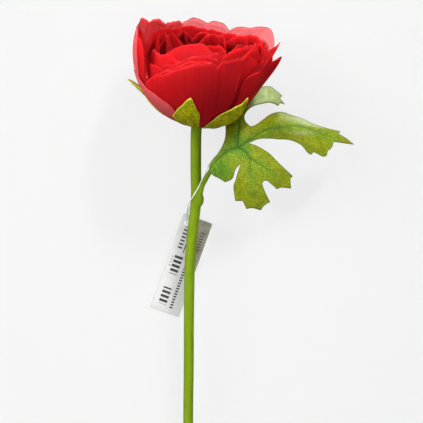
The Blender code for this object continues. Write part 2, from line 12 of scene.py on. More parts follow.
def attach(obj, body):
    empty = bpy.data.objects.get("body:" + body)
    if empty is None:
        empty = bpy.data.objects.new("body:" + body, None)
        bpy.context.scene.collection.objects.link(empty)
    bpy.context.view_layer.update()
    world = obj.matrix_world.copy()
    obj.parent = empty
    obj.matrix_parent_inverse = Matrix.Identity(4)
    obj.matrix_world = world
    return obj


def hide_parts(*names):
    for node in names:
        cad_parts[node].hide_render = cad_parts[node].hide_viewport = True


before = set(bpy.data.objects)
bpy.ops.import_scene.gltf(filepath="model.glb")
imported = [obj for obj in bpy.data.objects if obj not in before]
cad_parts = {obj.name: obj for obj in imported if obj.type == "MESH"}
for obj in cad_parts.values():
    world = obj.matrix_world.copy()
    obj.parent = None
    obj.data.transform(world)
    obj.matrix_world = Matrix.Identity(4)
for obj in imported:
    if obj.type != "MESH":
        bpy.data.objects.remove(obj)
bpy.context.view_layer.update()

MM = 0.001

# How the flower lies: the flower's frame has x across, y along the stem to the bloom, and z to the front.
FLOWER_AT = Vector((-3.953779, -33.865791, 21.583963)) * MM
STEM_SLOPE = math.radians(4.0)
BLOOM_LIFT = math.radians(18.0)
BLOOM_LEAN = math.radians(7.0)
FLOWER = Matrix.Translation(FLOWER_AT) @ Matrix.Rotation(STEM_SLOPE, 4, "X")
HEAD_TURN = Matrix.Rotation(-BLOOM_LEAN, 4, "Z") @ Matrix.Rotation(BLOOM_LIFT - math.radians(90), 4, "X")
HEAD = FLOWER @ HEAD_TURN

# Camera.
VIEW_CENTRE = FLOWER @ (Vector((7.54, -46.54, 0.0)) * MM)
VIEW_DISTANCE = 2.6
VIEW_LENS = 425.5

# Thread of the swing tag.
THREAD_RADIUS = 0.25 * MM
THREAD_STEP = 1.6 * MM
KNOT_SIZE = 0.28 * MM
KNOT_POINTS = 72
THREAD_ROUTE = [  # from the knot behind the tag through its hole, up the stem, beside the stalk and back
    (-5.2, -49.6, -14.6),
    (-5.35, -52.0, -14.1),
    (-5.35, -52.6, -12.3),
    (-5.3, -51.0, -9.6),
    (-5.1, -46.6, -3.6),
    (-4.2, -42.4, 1.2),
    (-2.4, -39.2, 3.3),
    (0.5, -34.3, 4.1),
    (4.0, -26.9, 5.0),
    (6.0, -22.6, 4.3),
    (5.8, -22.6, 1.6),
    (4.0, -27.4, -1.6),
    (1.6, -33.2, -4.4),
    (-2.4, -41.6, -8.4),
    (-4.8, -46.8, -12.9),
    (-5.2, -49.6, -14.6),
]

# Bloom, in millimetres, measured round its own axis from the point where the stem meets it.
PETAL_ROOT_RADIUS = 3.0
PETAL_CLOTH = 0.18 * MM
PETAL_REST = 0.02 * MM  # how much higher each petal lies than the one before, where they reach the surface
RIM_WANDER = 0.5  # degrees that a cut rim strays, in long waves
RIM_FLUTTER = 0.35  # degrees that it strays in short waves
PLEAT_DEPTH = 0.10
DENT_DEPTH = 0.25
PETAL_LENGTH = 1.5  # a petal's length beside its depth
CUT_SHIFT = (61.7, 13.3)  # how far apart on the cloth petals are cut
# Painted shade: how far the darkness painted inside the bloom takes to reach full strength.
PAINTED_SHADE_FADE = 5.0
# Painted backlight: how sharply the pale pink for light let through begins.
THIN_FADE = 0.05
PINCH = 4.2  # how far the bowl draws in low down on the leaf's side
PINCH_AT_RADIUS = 37  # the bowl's radius for which that holds
PINCH_FROM = math.radians(44)
PINCH_TO = math.radians(165)
PINCH_TOP = 1.75  # closing, in radians, above which the bowl stays round
PINCH_FOOT = 0.9  # closing below which the pinch fades to the root
PINCH_FADE = 0.6
HEART_RINGS = [  # petals in the ring, their radius, root height, depth, and how far they close
    (5, 17.5, 7.0, 25.0, 106),
    (4, 13.0, 8.6, 23.0, 108),
    (4, 9.0, 10.5, 20.0, 112),
    (3, 5.4, 12.0, 17.5, 116),
]
HEART_REACH = 190  # half the degrees that a ring's petals reach in all, so that they overlap
CORE_RADIUS = 5.2 * MM
CORE_HEIGHT = 17.0 * MM
CORE_BEVEL = 1.6 * MM
CORE_START = -0.5 * MM

# Calyx.
SEPAL_CLOTH = 0.5 * MM
SEPAL_RADIUS = 38.4
SEPAL_ROOT = -0.4
SEPAL_DEPTH = 39.2
SEPAL_STEP = 0.12  # how much lower each sepal is rooted than the one before
SEPAL_LENGTH = 30
SEPAL_CREASE = 0.4  # depth of the crease down its middle
SEPALS = [  # as a petal's rim: places round the bowl, how far each reaches, and how far it leans out
    [(-31, 34), (-29.5, 40), (-24, 46), (-16, 56), (-7.5, 67), (-4, 61), (-1, 54), (2, 48), (3, 38)],
    [(13, 30), (17, 41), (21, 49), (27, 55), (34, 59), (39, 63), (42.5, 69, 0.8), (45, 60), (47, 52),
     (49, 44), (51, 34)],
    [(-114, 32), (-107, 43), (-101, 50, 0.5), (-96, 58, 6.0), (-92, 50, 0.5), (-86, 43), (-78, 32)],
    [(124, 30), (132, 38), (140, 44), (148, 49), (156, 44), (164, 38), (172, 30)],
    [(184, 30), (192, 38), (200, 44), (208, 49), (216, 44), (224, 38), (232, 30)],
]

# Stem and the leaf's stalk, in millimetres in the flower's frame.
STEM_ROUTE = [
    (-0.05, -1.2, -0.4),
    (-0.45, -4.9, -1.45),
    (-0.6, -12.0, -1.9),
    (-0.6, -26.0, -1.1),
    (-0.5, -41.0, 0.0),
    (-2.6, -59.0, 0.0),
    (-3.8, -76.0, 0.0),
    (-4.2, -100.0, 0.0),
    (-4.3, -126.0, 0.0),
    (-4.6, -157.0, 0.0),
    (-4.4, -200.0, 0.0),
    (-3.0, -250.0, 0.0),
    (-1.0, -290.0, 1.25),
]
STEM_TOP_RADIUS = 2.85
STEM_CUT_RADIUS = 2.6
STEM_TAPER_END = 150.0
STEM_STEP = 4.0 * MM
STEM_SIDES = 28
STEM_STATIONS = 80  # places along the stem at which its radius is set
STALK_ROUTE = [
    (-0.4, -44.0, 0.6),
    (1.2, -39.0, 1.9),
    (2.6, -33.5, 2.7),
    (4.6, -29.6, 3.1),
    (6.9, -25.6, 3.5),
    (9.2, -22.6, 3.9),
]
STALK_RADII = (1.7, 1.55, 1.4, 1.35, 1.3, 1.25, 1.1)
STALK_STEP = 1.5 * MM
STALK_SIDES = 20
NODE_RADIUS = 2.3 * MM
NODE_STRETCH = 1.7
NODE_CENTRE = (1.3, -40.2, 1.1)
SKIN_CELL = 0.4 * MM

# Leaf, in millimetres from its hub, where its ribs meet.
LEAF_HUB = Vector((21.3, -13.0, 0.0))
LEAF_CLOTH = 0.5 * MM
LEAF_CELL = 0.6
CELL_ROW = 0.866  # a row's height beside its cells' width, so that the cells are even triangles
LEAF_ACROSS = (-18, 64)  # the field that the blade is cut from
LEAF_ALONG = (-36, 36)
TOOTH_TURN = math.radians(50)  # a sharper turn of the edge than this is a tooth's corner
RIB_WIDTH = 0.75
RIB_DEPTH = 1.0
RIB_TAPER = 0.65
VEIN_WIDTH = 0.42
VEIN_DEPTH = 0.25
VEIN_SPACING = 5.2
VEIN_LEAN = 0.85
VEIN_SQUARE = 0.76  # from the spacing along a rib to the gap straight across the leaning veins
VEIN_SHIFT = 0.37  # how far out of step the veins of one rib are with those of the next
VEIN_REACH = 9.0
COCKLE = 0.15  # how far the cloth's face waves up and down
TOP_LOBE = [
    (-14.4, -8.3), (-10.5, -3.4), (-8.2, 0.3), (-6.8, 4.0), (-6.3, 7.7), (-6.2, 10.9), (-3.9, 14.2),
    (-0.9, 18.6), (2.2, 23.2), (5.7, 27.6), (10.8, 31.0), (16.4, 31.9), (19.7, 29.8), (23.2, 27.0),
    (22.0, 25.6), (24.3, 22.5), (22.3, 23.2), (21.0, 21.6), (18.8, 22.8), (16.0, 23.4), (12.7, 22.8),
    (8.1, 21.4), (4.8, 18.9), (3.4, 16.1), (3.9, 13.3), (6.2, 10.8),
]
RIGHT_LOBE = [
    (8.3, 10.9), (12.7, 13.8), (16.4, 16.5), (19.8, 17.8), (23.4, 17.9), (27.0, 16.6), (32.6, 14.9),
    (39.1, 12.0), (45.3, 10.1), (53.4, 8.1), (52.3, 6.9), (56.3, 4.7), (60.6, 1.4), (56.3, 1.9),
    (49.7, 2.8), (49.3, 0.9), (48.0, -1.2), (46.7, -1.8), (46.1, -4.5), (44.0, -5.0), (39.3, -2.7),
    (37.9, -4.1), (35.8, -2.7), (32.6, 1.0), (27.0, 3.5), (21.6, 3.9), (16.1, 4.3), (10.4, 3.9),
    (5.6, 2.0),
]
LOW_LOBE = [
    (10.4, 0.3), (16.4, -3.4), (21.1, -8.1), (28.5, -15.2), (27.3, -16.6), (27.6, -21.5), (22.5, -21.1),
    (20.2, -22.0), (17.4, -19.4), (15.1, -17.6), (13.4, -17.6), (12.5, -19.0), (13.7, -22.5),
    (16.7, -28.5), (13.7, -30.4), (11.8, -32.9), (7.6, -31.7), (4.4, -32.2), (2.5, -28.0),
    (-1.4, -28.0), (-2.3, -20.6), (-1.2, -16.9), (1.1, -9.0),
]
BASE_LOBE = [(-1.3, -12.0), (-2.9, -16.4), (-6.6, -18.3), (-10.5, -16.0), (-12.9, -14.8), (-14.9, -12.4)]
LEAF_HEIGHTS = [  # (x, y, height to the front): the blade arches over its ribs and its lobes droop
    (-14.4, -11.2, 6.0), (-10.5, -3.4, 5.0), (0.0, 0.0, 6.0), (-6.3, 7.7, 2.5), (-6.2, 10.9, 0.0),
    (0.2, 9.6, 4.0), (0.7, 16.5, -0.5), (3.4, 21.2, -5.5), (8.1, 24.4, -9.0), (14.0, 27.0, -11.0),
    (22.5, 25.0, -14.0), (6.2, 10.8, 4.5), (3.4, 16.1, 1.0), (4.8, 18.9, -2.0), (12.7, 22.8, -9.5),
    (-4.9, 14.2, -4.8), (-2.4, 18.4, -10.5), (1.0, 23.4, -14.8), (5.7, 27.6, -15.0), (10.8, 31.0, -14.0),
    (12.7, 8.0, 7.5), (19.8, 17.8, 5.0), (23.0, 10.0, 9.5), (32.6, 14.9, 4.0), (34.0, 7.0, 7.5),
    (45.3, 10.1, -2.0), (47.0, 3.0, 0.5), (60.6, 1.4, -8.0), (21.6, 3.9, 7.0), (37.9, -4.1, 4.0),
    (9.0, -5.0, 6.5), (21.1, -8.1, 4.0), (27.6, -20.0, -1.5), (11.0, -14.0, 6.0), (8.0, -24.0, 3.5),
    (12.0, -33.0, -1.0), (-1.4, -28.0, -0.5), (-1.0, -12.0, 5.5), (-6.6, -18.3, 2.5),
]
RIBS = [  # each rib from the hub outwards: (x, y) points
    [(0.0, 0.0), (-6.0, -2.6), (-12.0, -8.6), (-14.6, -11.9)],
    [(0.0, 0.0), (0.3, 9.6), (0.8, 16.5), (4.2, 21.2), (9.6, 25.0), (17.0, 26.6)],
    [(0.0, 0.0), (6.0, 3.7), (12.7, 7.8), (20.2, 9.6), (32.2, 10.3), (42.0, 6.6), (51.0, 4.4)],
    [(0.0, 0.0), (4.4, -3.4), (6.0, -7.4), (7.0, -15.0), (7.4, -24.0)],
    [(5.6, -5.6), (11.8, -9.6), (19.0, -15.0)],
]

# Swing tag.
TAG_WIDTH = 16.0
TAG_LENGTH = 52.0
TAG_THICKNESS = 0.5
TAG_CORNER = 0.5
TAG_HOLE_RADIUS = 1.5
TAG_HOLE_FROM_SIDE = 3.2
TAG_HOLE_FROM_TOP = 4.2
TAG_TOP_MIDDLE = (0.6, -49.4)
TAG_TURN = math.radians(-20.0)
TAG_TOP_HEIGHT = 6.0
TAG_END_HEIGHT = 0.35
TAG_ROWS = 40
TAG_COLUMNS = 12
TAG_ARCH = 0.9  # how far it arches along its length
TAG_CUP = 0.012  # how fast its sides curl down, away from its middle
TAG_LIFT = 0.4
TAG_REST = 12  # how much of it flattens out towards its far end
PRINTED_BLOCKS = [  # left, right across the card; low, high along it from its far end; bar pitch and share
    (3.2, 7.6, 3.6, 12.9, 2.4, 0.58),
    (3.2, 7.6, 20.2, 31.0, 2.4, 0.58),
    (9.6, 11.2, 2.6, 30.0, 1.5, 0.55),
    (1.8, 2.5, 23.0, 30.4, 1.6, 0.35),
    (3.0, 5.4, 34.0, 46.0, 1.9, 0.45),
    (6.4, 6.9, 32.5, 45.5, 60.0, 1.0),
    (8.0, 8.5, 33.0, 47.0, 60.0, 1.0),
    (12.0, 14.2, 35.0, 46.5, 1.5, 0.5),
]

# Surroundings.
FLOOR_GLOW = 0.76
SKY_STRENGTH = 0.22
LAMPS = [  # (name, place, aim, size, power, spread in degrees)
    ("Key light", (-1.45, 0.75, 1.15), (0, -0.05, 0.03), 1.1, 50, 180),
    ("Top light", (0.7, 1.6, 1.1), (0, -0.05, 0.03), 1.0, 17, 180),
    ("Front light", (0.3, -0.9, 2.2), (0, -0.08, 0.03), 1.4, 22, 180),
    ("Bloom light", (0.5, 1.15, 0.95), (0.0, 0.03, 0.04), 0.3, 0.27, 12),
]


# ---------------------------------------------------------------- curves and sheets

def smooth(t):
    """Eases from 0 to 1 while t goes from 0 to 1, and is level beyond them."""
    t = np.clip(t, 0.0, 1.0)
    return t * t * (3 - 2 * t)


def on_curve(a, b, c, d, t):
    """The place at t, from 0 to 1, between b and c on a smooth curve that passes through all four."""
    bend = (2 * a - 5 * b + 4 * c - d) * t**2 + (3 * b - a - 3 * c + d) * t**3
    return b + ((c - a) * t + bend) / 2


def smooth_curve(points, step):
    """Points about one step apart on a smooth curve through the given ones."""
    ends = [2 * points[0] - points[1]] + list(points) + [2 * points[-1] - points[-2]]
    result = [points[0]]
    for a, b, c, d in zip(ends, ends[1:], ends[2:], ends[3:]):
        pieces = max(1, round((c - b).length / step))
        for k in range(1, pieces + 1):
            result.append(on_curve(a, b, c, d, k / pieces))
    return result


def steps_of(points):
    """The distances from each point to the next."""
    return [(b - a).length for a, b in zip(points, points[1:])]


def moved(matrix, points):
    """An array of points, in metres, taken through a matrix."""
    m = np.array(matrix)
    return points @ m[:3, :3].T + m[:3, 3]


def read_points(mesh):
    """The places of a mesh's points, one to a row."""
    places = np.empty(len(mesh.vertices) * 3)
    mesh.vertices.foreach_get("co", places)
    return places.reshape(-1, 3)


def write_points(mesh, points):
    """Puts a mesh's points at new places."""
    mesh.vertices.foreach_set("co", np.asarray(points, dtype=np.float32).ravel())
    mesh.update()


def note(mesh, name, values):
    """Keeps one number for each point of the mesh, for its material to read."""
    attribute = mesh.attributes.new(name, "FLOAT", "POINT")
    attribute.data.foreach_set("value", np.asarray(values, dtype=np.float32))


def lay_map(mesh, name, flat):
    """A UV map that holds the sheet's flat cut, in millimetres."""
    layer = mesh.uv_layers.get(name) or mesh.uv_layers.new(name=name)
    corner = np.empty(len(mesh.loops), dtype=np.int32)
    mesh.loops.foreach_get("vertex_index", corner)
    layer.data.foreach_set("uv", np.asarray(flat, dtype=np.float32)[corner].ravel())


# ---------------------------------------------------------------- modelling

def start_clean():
    """Object mode, with nothing selected."""
    if bpy.context.mode != "OBJECT":
        bpy.ops.object.mode_set(mode="OBJECT")
    bpy.ops.object.select_all(action="DESELECT")


def select_only(obj, *others):
    """Selects one object, to work on, and any others with it."""
    start_clean()
    for chosen in (obj, *others):
        chosen.select_set(True)
    bpy.context.view_layer.objects.active = obj


def new_object(name, data):
    """Puts a mesh, a curve, a lamp or a camera into the scene."""
    obj = bpy.data.objects.new(name, data)
    bpy.context.scene.collection.objects.link(obj)
    return obj


def new_line(name, points):
    """A curve that runs straight from each point to the next."""
    curve = bpy.data.curves.new(name, "CURVE")
    curve.dimensions = "3D"
    spline = curve.splines.new("POLY")
    spline.points.add(len(points) - 1)
    for spot, point in zip(spline.points, points):
        spot.co = (*point, 1)
    return new_object(name, curve)


def apply_modifiers(obj):
    """Makes an object's modifiers part of its mesh."""
    select_only(obj)
    for modifier in list(obj.modifiers):
        bpy.ops.object.modifier_apply(modifier=modifier.name)


def thicken(sheet, thickness):
    """Gives a sheet the thickness of its cloth, half to each side."""
    wall = sheet.modifiers.new("Cloth thickness", "SOLIDIFY")
    wall.thickness = thickness
    wall.offset = 0.0
    apply_modifiers(sheet)
    bpy.ops.object.shade_smooth()


def select_long_edges(obj, axis, length):
    """In edit mode, selects the edges that run farther than the length along one axis."""
    bpy.ops.object.mode_set(mode="EDIT")
    bpy.ops.mesh.select_mode(type="EDGE")
    bpy.ops.mesh.select_all(action="DESELECT")
    mesh = bmesh.from_edit_mesh(obj.data)
    for edge in mesh.edges:
        edge.select = abs(edge.verts[0].co[axis] - edge.verts[1].co[axis]) > length
    bmesh.update_edit_mesh(obj.data)


def finish_piece(obj, name, material, slot, *nodes):
    """Names a piece, gives it its material and puts it on the flower in the place of the plain solids."""
    select_only(obj)
    bpy.ops.object.transform_apply(location=True, rotation=True, scale=True)
    obj.name = name
    obj.data.name = name
    obj.data.materials.clear()
    obj.data.materials.append(material)
    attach(obj, "root")
    if nodes:
        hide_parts(*nodes)
    return obj


def cut_sheet(columns, rows):
    """A flat grid to be shaped, and how far each of its points lies across (-1 to 1) and along (0 to 1)."""
    start_clean()
    bpy.ops.mesh.primitive_grid_add(x_subdivisions=columns, y_subdivisions=rows, size=2)
    sheet = bpy.context.object
    points = read_points(sheet.data)
    return sheet, points[:, 0], points[:, 1] / 2 + 0.5


def rod(points, radii, sides):
    """A rod modelled as a cylinder along its own length, then bent along the points by a curve."""
    start_clean()
    route = new_line("Route", points)
    length = sum(steps_of(points))
    bpy.ops.mesh.primitive_cylinder_add(
        vertices=sides, radius=1, depth=length, location=(0, 0, 0), rotation=(0, math.radians(90), 0)
    )
    tube = bpy.context.object
    bpy.ops.object.transform_apply(location=True, rotation=True, scale=True)
    select_long_edges(tube, 0, length / 2)
    bpy.ops.mesh.subdivide_edgering(number_cuts=len(points) - 2, interpolation="LINEAR", smoothness=0)
    bpy.ops.object.mode_set(mode="OBJECT")
    straight = read_points(tube.data)
    along = straight[:, 0] / length + 0.5
    radius = np.interp(along, np.linspace(0, 1, len(radii)), radii)
    straight[:, 0] = along * length
    straight[:, 1:] *= radius[:, None]
    write_points(tube.data, straight)
    bend = tube.modifiers.new("Route", "CURVE")
    bend.object = route
    bend.deform_axis = "POS_X"
    apply_modifiers(tube)
    curve = route.data
    bpy.data.objects.remove(route)
    bpy.data.curves.remove(curve)
    bpy.ops.object.shade_smooth_by_angle(angle=math.radians(50))
    return tube


# ---------------------------------------------------------------- node building

def place(tree, kind, inputs=None, **settings):
    """One node, its settings, and what its inputs hold or are wired to."""
    node = tree.nodes.new("ShaderNode" + kind)
    for key, value in settings.items():
        setattr(node, key, value)
    for key, value in (inputs or {}).items():
        if isinstance(value, bpy.types.NodeSocket):
            tree.links.new(value, node.inputs[key])
        else:
            node.inputs[key].default_value = value
    return node


def maths(tree, operation, a, b=0.0, c=0.0):
    """One step of arithmetic on up to three values."""
    return place(tree, "Math", {0: a, 1: b, 2: c}, operation=operation).outputs[0]


def times(tree, a, b):
    """Two values multiplied."""
    return maths(tree, "MULTIPLY", a, b)


def between(tree, value, low, high, to_low=0.0, to_high=1.0):
    """The value eased from one range to another, and kept inside it."""
    inputs = {"Value": value, 1: low, 2: high, 3: to_low, 4: to_high}
    return place(tree, "MapRange", inputs, interpolation_type="SMOOTHSTEP").outputs[0]


def inside(tree, value, low, high):
    """1 where the value lies between low and high, and 0 elsewhere."""
    above = maths(tree, "GREATER_THAN", value, low)
    return times(tree, above, maths(tree, "LESS_THAN", value, high))


def colour(red, green, blue):
    """A colour from its red, green and blue."""
    return (red, green, blue, 1.0)


def tint(tree, factor, a, b):
    """Colour a where the factor is 0, colour b where it is 1."""
    return place(tree, "Mix", {0: factor, 6: a, 7: b}, data_type="RGBA").outputs[2]


def wash(tree, base, mask, share, shade):
    """A shade laid over the base where the mask is, at a share of the mask's strength."""
    return tint(tree, times(tree, mask, share), base, colour(*shade))


def attribute(tree, name):
    """What was noted under this name for each point of the mesh."""
    return place(tree, "Attribute", attribute_name=name).outputs["Fac"]


def new_group(name, settings, outputs):
    """A node group that takes a place and some settings, and gives out numbers."""
    tree = bpy.data.node_groups.new(name, "ShaderNodeTree")
    tree.interface.new_socket(name="Vector", in_out="INPUT", socket_type="NodeSocketVector")
    for label, value in settings.items():
        socket = tree.interface.new_socket(name=label, in_out="INPUT", socket_type="NodeSocketFloat")
        socket.default_value = value
    for label in outputs:
        tree.interface.new_socket(name=label, in_out="OUTPUT", socket_type="NodeSocketFloat")
    enter = tree.nodes.new("NodeGroupInput")
    leave = tree.nodes.new("NodeGroupOutput")
    return tree, enter.outputs, leave.inputs


def use_group(tree, group, **inputs):
    """The outputs of a node group that is given these inputs."""
    return place(tree, "Group", inputs, node_tree=group).outputs


def woven_threads_group():
    """A plain weave: threads that cross over and under, a little uneven."""
    tree, enter, leave = new_group("Woven threads", {"Pitch": 0.4, "Unevenness": 0.3}, ["Height", "Gaps"])
    wander = place(tree, "TexNoise", {"Vector": enter["Vector"], "Scale": 0.9, "Detail": 2.0})
    push = place(tree, "VectorMath", {0: wander.outputs["Color"], 1: (0.5, 0.5, 0.5)}, operation="SUBTRACT")
    push = place(tree, "VectorMath", {0: push.outputs[0], "Scale": enter["Unevenness"]}, operation="SCALE")
    spot = place(tree, "VectorMath", {0: enter["Vector"], 1: push.outputs[0]}, operation="ADD")
    parts = place(tree, "SeparateXYZ", {0: spot.outputs[0]}).outputs
    turn = maths(tree, "DIVIDE", math.pi, enter["Pitch"])
    across = maths(tree, "SINE", times(tree, parts[0], turn))
    along = maths(tree, "SINE", times(tree, parts[1], turn))
    over = times(tree, across, along)
    height = maths(tree, "MULTIPLY_ADD", over, 0.5, 0.5)
    gap_across = maths(tree, "POWER", maths(tree, "ABSOLUTE", across), 0.5)
    gap_along = maths(tree, "POWER", maths(tree, "ABSOLUTE", along), 0.5)
    gaps = maths(tree, "SUBTRACT", 1.0, times(tree, gap_across, gap_along))
    tree.links.new(height, leave["Height"])
    tree.links.new(gaps, leave["Gaps"])
    return tree


def mottle_group():
    """Cloudy unevenness at two sizes, as dye and press leave on cloth."""
    tree, enter, leave = new_group("Dye mottle", {"Size": 4.0, "Fine share": 0.4}, ["Value"])
    scale = maths(tree, "DIVIDE", 1.0, enter["Size"])
    broad = place(tree, "TexNoise", {"Vector": enter["Vector"], "Scale": scale, "Detail": 3.0})
    finer = times(tree, scale, 7.0)
    fine = place(tree, "TexNoise", {"Vector": enter["Vector"], "Scale": finer, "Detail": 2.0})
    inputs = {0: enter["Fine share"], 2: broad.outputs["Fac"], 3: fine.outputs["Fac"]}
    mixed = place(tree, "Mix", inputs, data_type="FLOAT").outputs[0]
    tree.links.new(between(tree, mixed, 0.3, 0.7), leave["Value"])
    return tree


def speckle_group():
    """Small separate specks."""
    tree, enter, leave = new_group("Fine specks", {"Size": 0.6, "Share": 0.3}, ["Mask"])
    scale = maths(tree, "DIVIDE", 1.0, enter["Size"])
    cells = place(tree, "TexVoronoi", {"Vector": enter["Vector"], "Scale": scale, "Randomness": 1.0})
    chance = place(tree, "SeparateXYZ", {0: cells.outputs["Color"]}).outputs[0]
    chosen = maths(tree, "LESS_THAN", chance, enter["Share"])
    round_off = between(tree, cells.outputs["Distance"], 0.25, 0.55, 1.0, 0.0)
    tree.links.new(times(tree, chosen, round_off), leave["Mask"])
    return tree


def streak_group():
    """Fine lengthwise veins of uneven strength, close together."""
    tree, enter, leave = new_group("Lengthwise veins", {"Spacing": 1.5}, ["Value"])
    scale = maths(tree, "DIVIDE", 1.0, enter["Spacing"])
    stretched = place(tree, "VectorMath", {0: enter["Vector"], 1: (1.0, 0.06, 1.0)}, operation="MULTIPLY")
    veins = place(tree, "TexNoise", {"Vector": stretched.outputs[0], "Scale": scale, "Detail": 3.0})
    tree.links.new(between(tree, veins.outputs["Fac"], 0.35, 0.65), leave["Value"])
    return tree


WOVEN = woven_threads_group()
MOTTLE = mottle_group()
SPECKS = speckle_group()
STREAKS = streak_group()


def weave(tree, where, pitch, unevenness):
    """A weave's height, and the gaps between its threads."""
    cloth = use_group(tree, WOVEN, Vector=where, Pitch=pitch, Unevenness=unevenness)
    return cloth["Height"], cloth["Gaps"]


def mottle(tree, where, size, fine_share=0.4):
    """Clouds about this many millimetres across, with a share of finer ones."""
    return use_group(tree, MOTTLE, Vector=where, Size=size, **{"Fine share": fine_share})["Value"]


def specks(tree, where, size, share):
    """Specks in a share of the places, which lie this many millimetres apart."""
    return use_group(tree, SPECKS, Vector=where, Size=size, Share=share)["Mask"]


def new_material(name, **finish):
    """A material with its shader; the finish holds what is the same all over the surface."""
    material = bpy.data.materials.new(name)
    material.use_nodes = True
    tree = material.node_tree
    shader = tree.nodes["Principled BSDF"]
    for key, value in finish.items():
        shader.inputs[key.replace("_", " ")].default_value = value
    return material, tree, shader


def dress(tree, shader, base, rough, height, depth):
    """Gives the shader its colour, its roughness and its relief, as deep as this in millimetres."""
    relief = place(tree, "Bump", {"Height": height, "Distance": depth * MM})
    tree.links.new(base, shader.inputs["Base Color"])
    tree.links.new(rough, shader.inputs["Roughness"])
    tree.links.new(relief.outputs[0], shader.inputs["Normal"])


def in_millimetres(tree):
    """Where a place lies on the flower, in millimetres."""
    where = place(tree, "TexCoord").outputs["Object"]
    return place(tree, "Mapping", {"Vector": where, "Scale": (1000, 1000, 1000)}).outputs[0]


def flat_cut(tree):
    """Where a place lay on the flat sheet before it was shaped, in millimetres."""
    return place(tree, "UVMap", uv_map="Cut").outputs[0]


def petal_red_and_painted_light(tree, grow, rim, cloud, grain, veins, gaps):
    """The red of the cloth, darker towards the root, with painted light near the rim where a petal is
    painted as lit, and painted shade deep in the bloom.
    """
    base = tint(tree, grow, colour(0.36, 0.006, 0.014), colour(0.52, 0.009, 0.012))
    # Painted light and shade: bright red painted near the rim, and darker further below it as the shade
    # between layers.
    below = between(tree, rim, 1.0, 14.0)
    painted_lit_red = tint(tree, below, colour(0.87, 0.015, 0.019), colour(0.60, 0.006, 0.009))
    base = tint(tree, attribute(tree, "fresh"), base, painted_lit_red)
    base = wash(tree, base, cloud, 0.3, (0.38, 0.004, 0.007))
    base = wash(tree, base, veins, 0.22, (0.24, 0.003, 0.006))
    base = wash(tree, base, grain, 0.28, (0.26, 0.004, 0.008))
    # Painted shade: nearly black where the petal lies deep inside the bloom.
    base = tint(tree, attribute(tree, "deep"), base, colour(0.05, 0.0, 0.0003))
    return wash(tree, base, gaps, 0.25, (0.24, 0.002, 0.005))


def petal_edge(tree, rim, thin, worn):
    """Where the cut edge shows, and its colour: a dull outline where light let through is painted, paler
    where threads have frayed.
    """
    edge = between(tree, rim, 0.15, 0.75, 0.8, 0.0)
    edge = times(tree, edge, between(tree, worn, 0.35, 0.8, 0.15, 0.8))
    outline = between(tree, rim, 0.25, 0.7, 0.8, 0.0)
    edge = maths(tree, "MAXIMUM", edge, times(tree, outline, thin))
    loose = between(tree, worn, 0.72, 0.85)
    frayed = tint(tree, loose, colour(0.58, 0.02, 0.025), colour(0.84, 0.10, 0.10))
    return edge, tint(tree, thin, frayed, colour(0.26, 0.06, 0.06))


def petal_material():
    """Thin cloth with red dye, painted light and shade, and a paler pink painted where one layer would let
    light through.
    """
    material, tree, shader = new_material(
        "petal_red", Specular_IOR_Level=0.04, Subsurface_Weight=1.0, Subsurface_Scale=0.45 * MM
    )
    shader.inputs["Subsurface Radius"].default_value = (1.0, 0.25, 0.25)
    cut = flat_cut(tree)
    threads, gaps = weave(tree, cut, 0.42, 0.25)
    cloud = mottle(tree, cut, 5.0)
    grain = mottle(tree, cut, 1.1, 0.7)
    worn = mottle(tree, cut, 2.5, 0.6)
    veins = use_group(tree, STREAKS, Vector=cut, Spacing=1.3)["Value"]
    rim = attribute(tree, "rim")
    thin = attribute(tree, "thin")
    grow = between(tree, attribute(tree, "grow"), 0.0, 1.0)
    base = petal_red_and_painted_light(tree, grow, rim, cloud, grain, veins, gaps)
    # Painted backlight: pale pink standing in for light let through one layer of cloth.
    pale = tint(tree, grow, colour(0.86, 0.16, 0.19), colour(0.93, 0.30, 0.315))
    pale = wash(tree, pale, grain, 0.75, (0.62, 0.10, 0.12))
    painted_backlight_share = times(tree, thin, maths(tree, "MULTIPLY_ADD", cloud, 0.3, 0.7))
    base = tint(tree, painted_backlight_share, base, pale)
    edge, edge_colour = petal_edge(tree, rim, thin, worn)
    base = tint(tree, edge, base, edge_colour)
    rough = between(tree, cloud, 0.0, 1.0, 0.62, 0.8)
    dress(tree, shader, base, rough, maths(tree, "MULTIPLY_ADD", veins, 1.2, threads), 0.05)
    return material


def sepal_material():
    """Pressed green cloth with red-brown mottling and a yellow cut edge."""
    material, tree, shader = new_material("sepal_green", Specular_IOR_Level=0.1)
    where = in_millimetres(tree)
    cloud = mottle(tree, where, 2.4)
    spots = specks(tree, where, 1.1, 0.4)
    dots = specks(tree, where, 1.0, 0.4)
    threads, _ = weave(tree, where, 0.45, 0.3)
    edge = between(tree, attribute(tree, "rim"), 0.0, 1.2, 0.8, 0.0)
    root = between(tree, attribute(tree, "grow"), 0.0, 0.35, 0.5, 0.0)
    base = tint(tree, between(tree, cloud, 0.3, 0.7), colour(0.25, 0.31, 0.003), colour(0.56, 0.50, 0.006))
    base = wash(tree, base, spots, between(tree, cloud, 0.3, 0.7, 0.9, 0.35), (0.30, 0.10, 0.012))
    base = wash(tree, base, dots, 0.55, (0.13, 0.17, 0.004))
    base = tint(tree, edge, base, colour(0.58, 0.56, 0.06))
    base = tint(tree, root, base, colour(0.09, 0.13, 0.006))
    rough = between(tree, cloud, 0.0, 1.0, 0.45, 0.62)
    dress(tree, shader, base, rough, maths(tree, "MULTIPLY_ADD", cloud, 1.2, threads), 0.06)
    return material


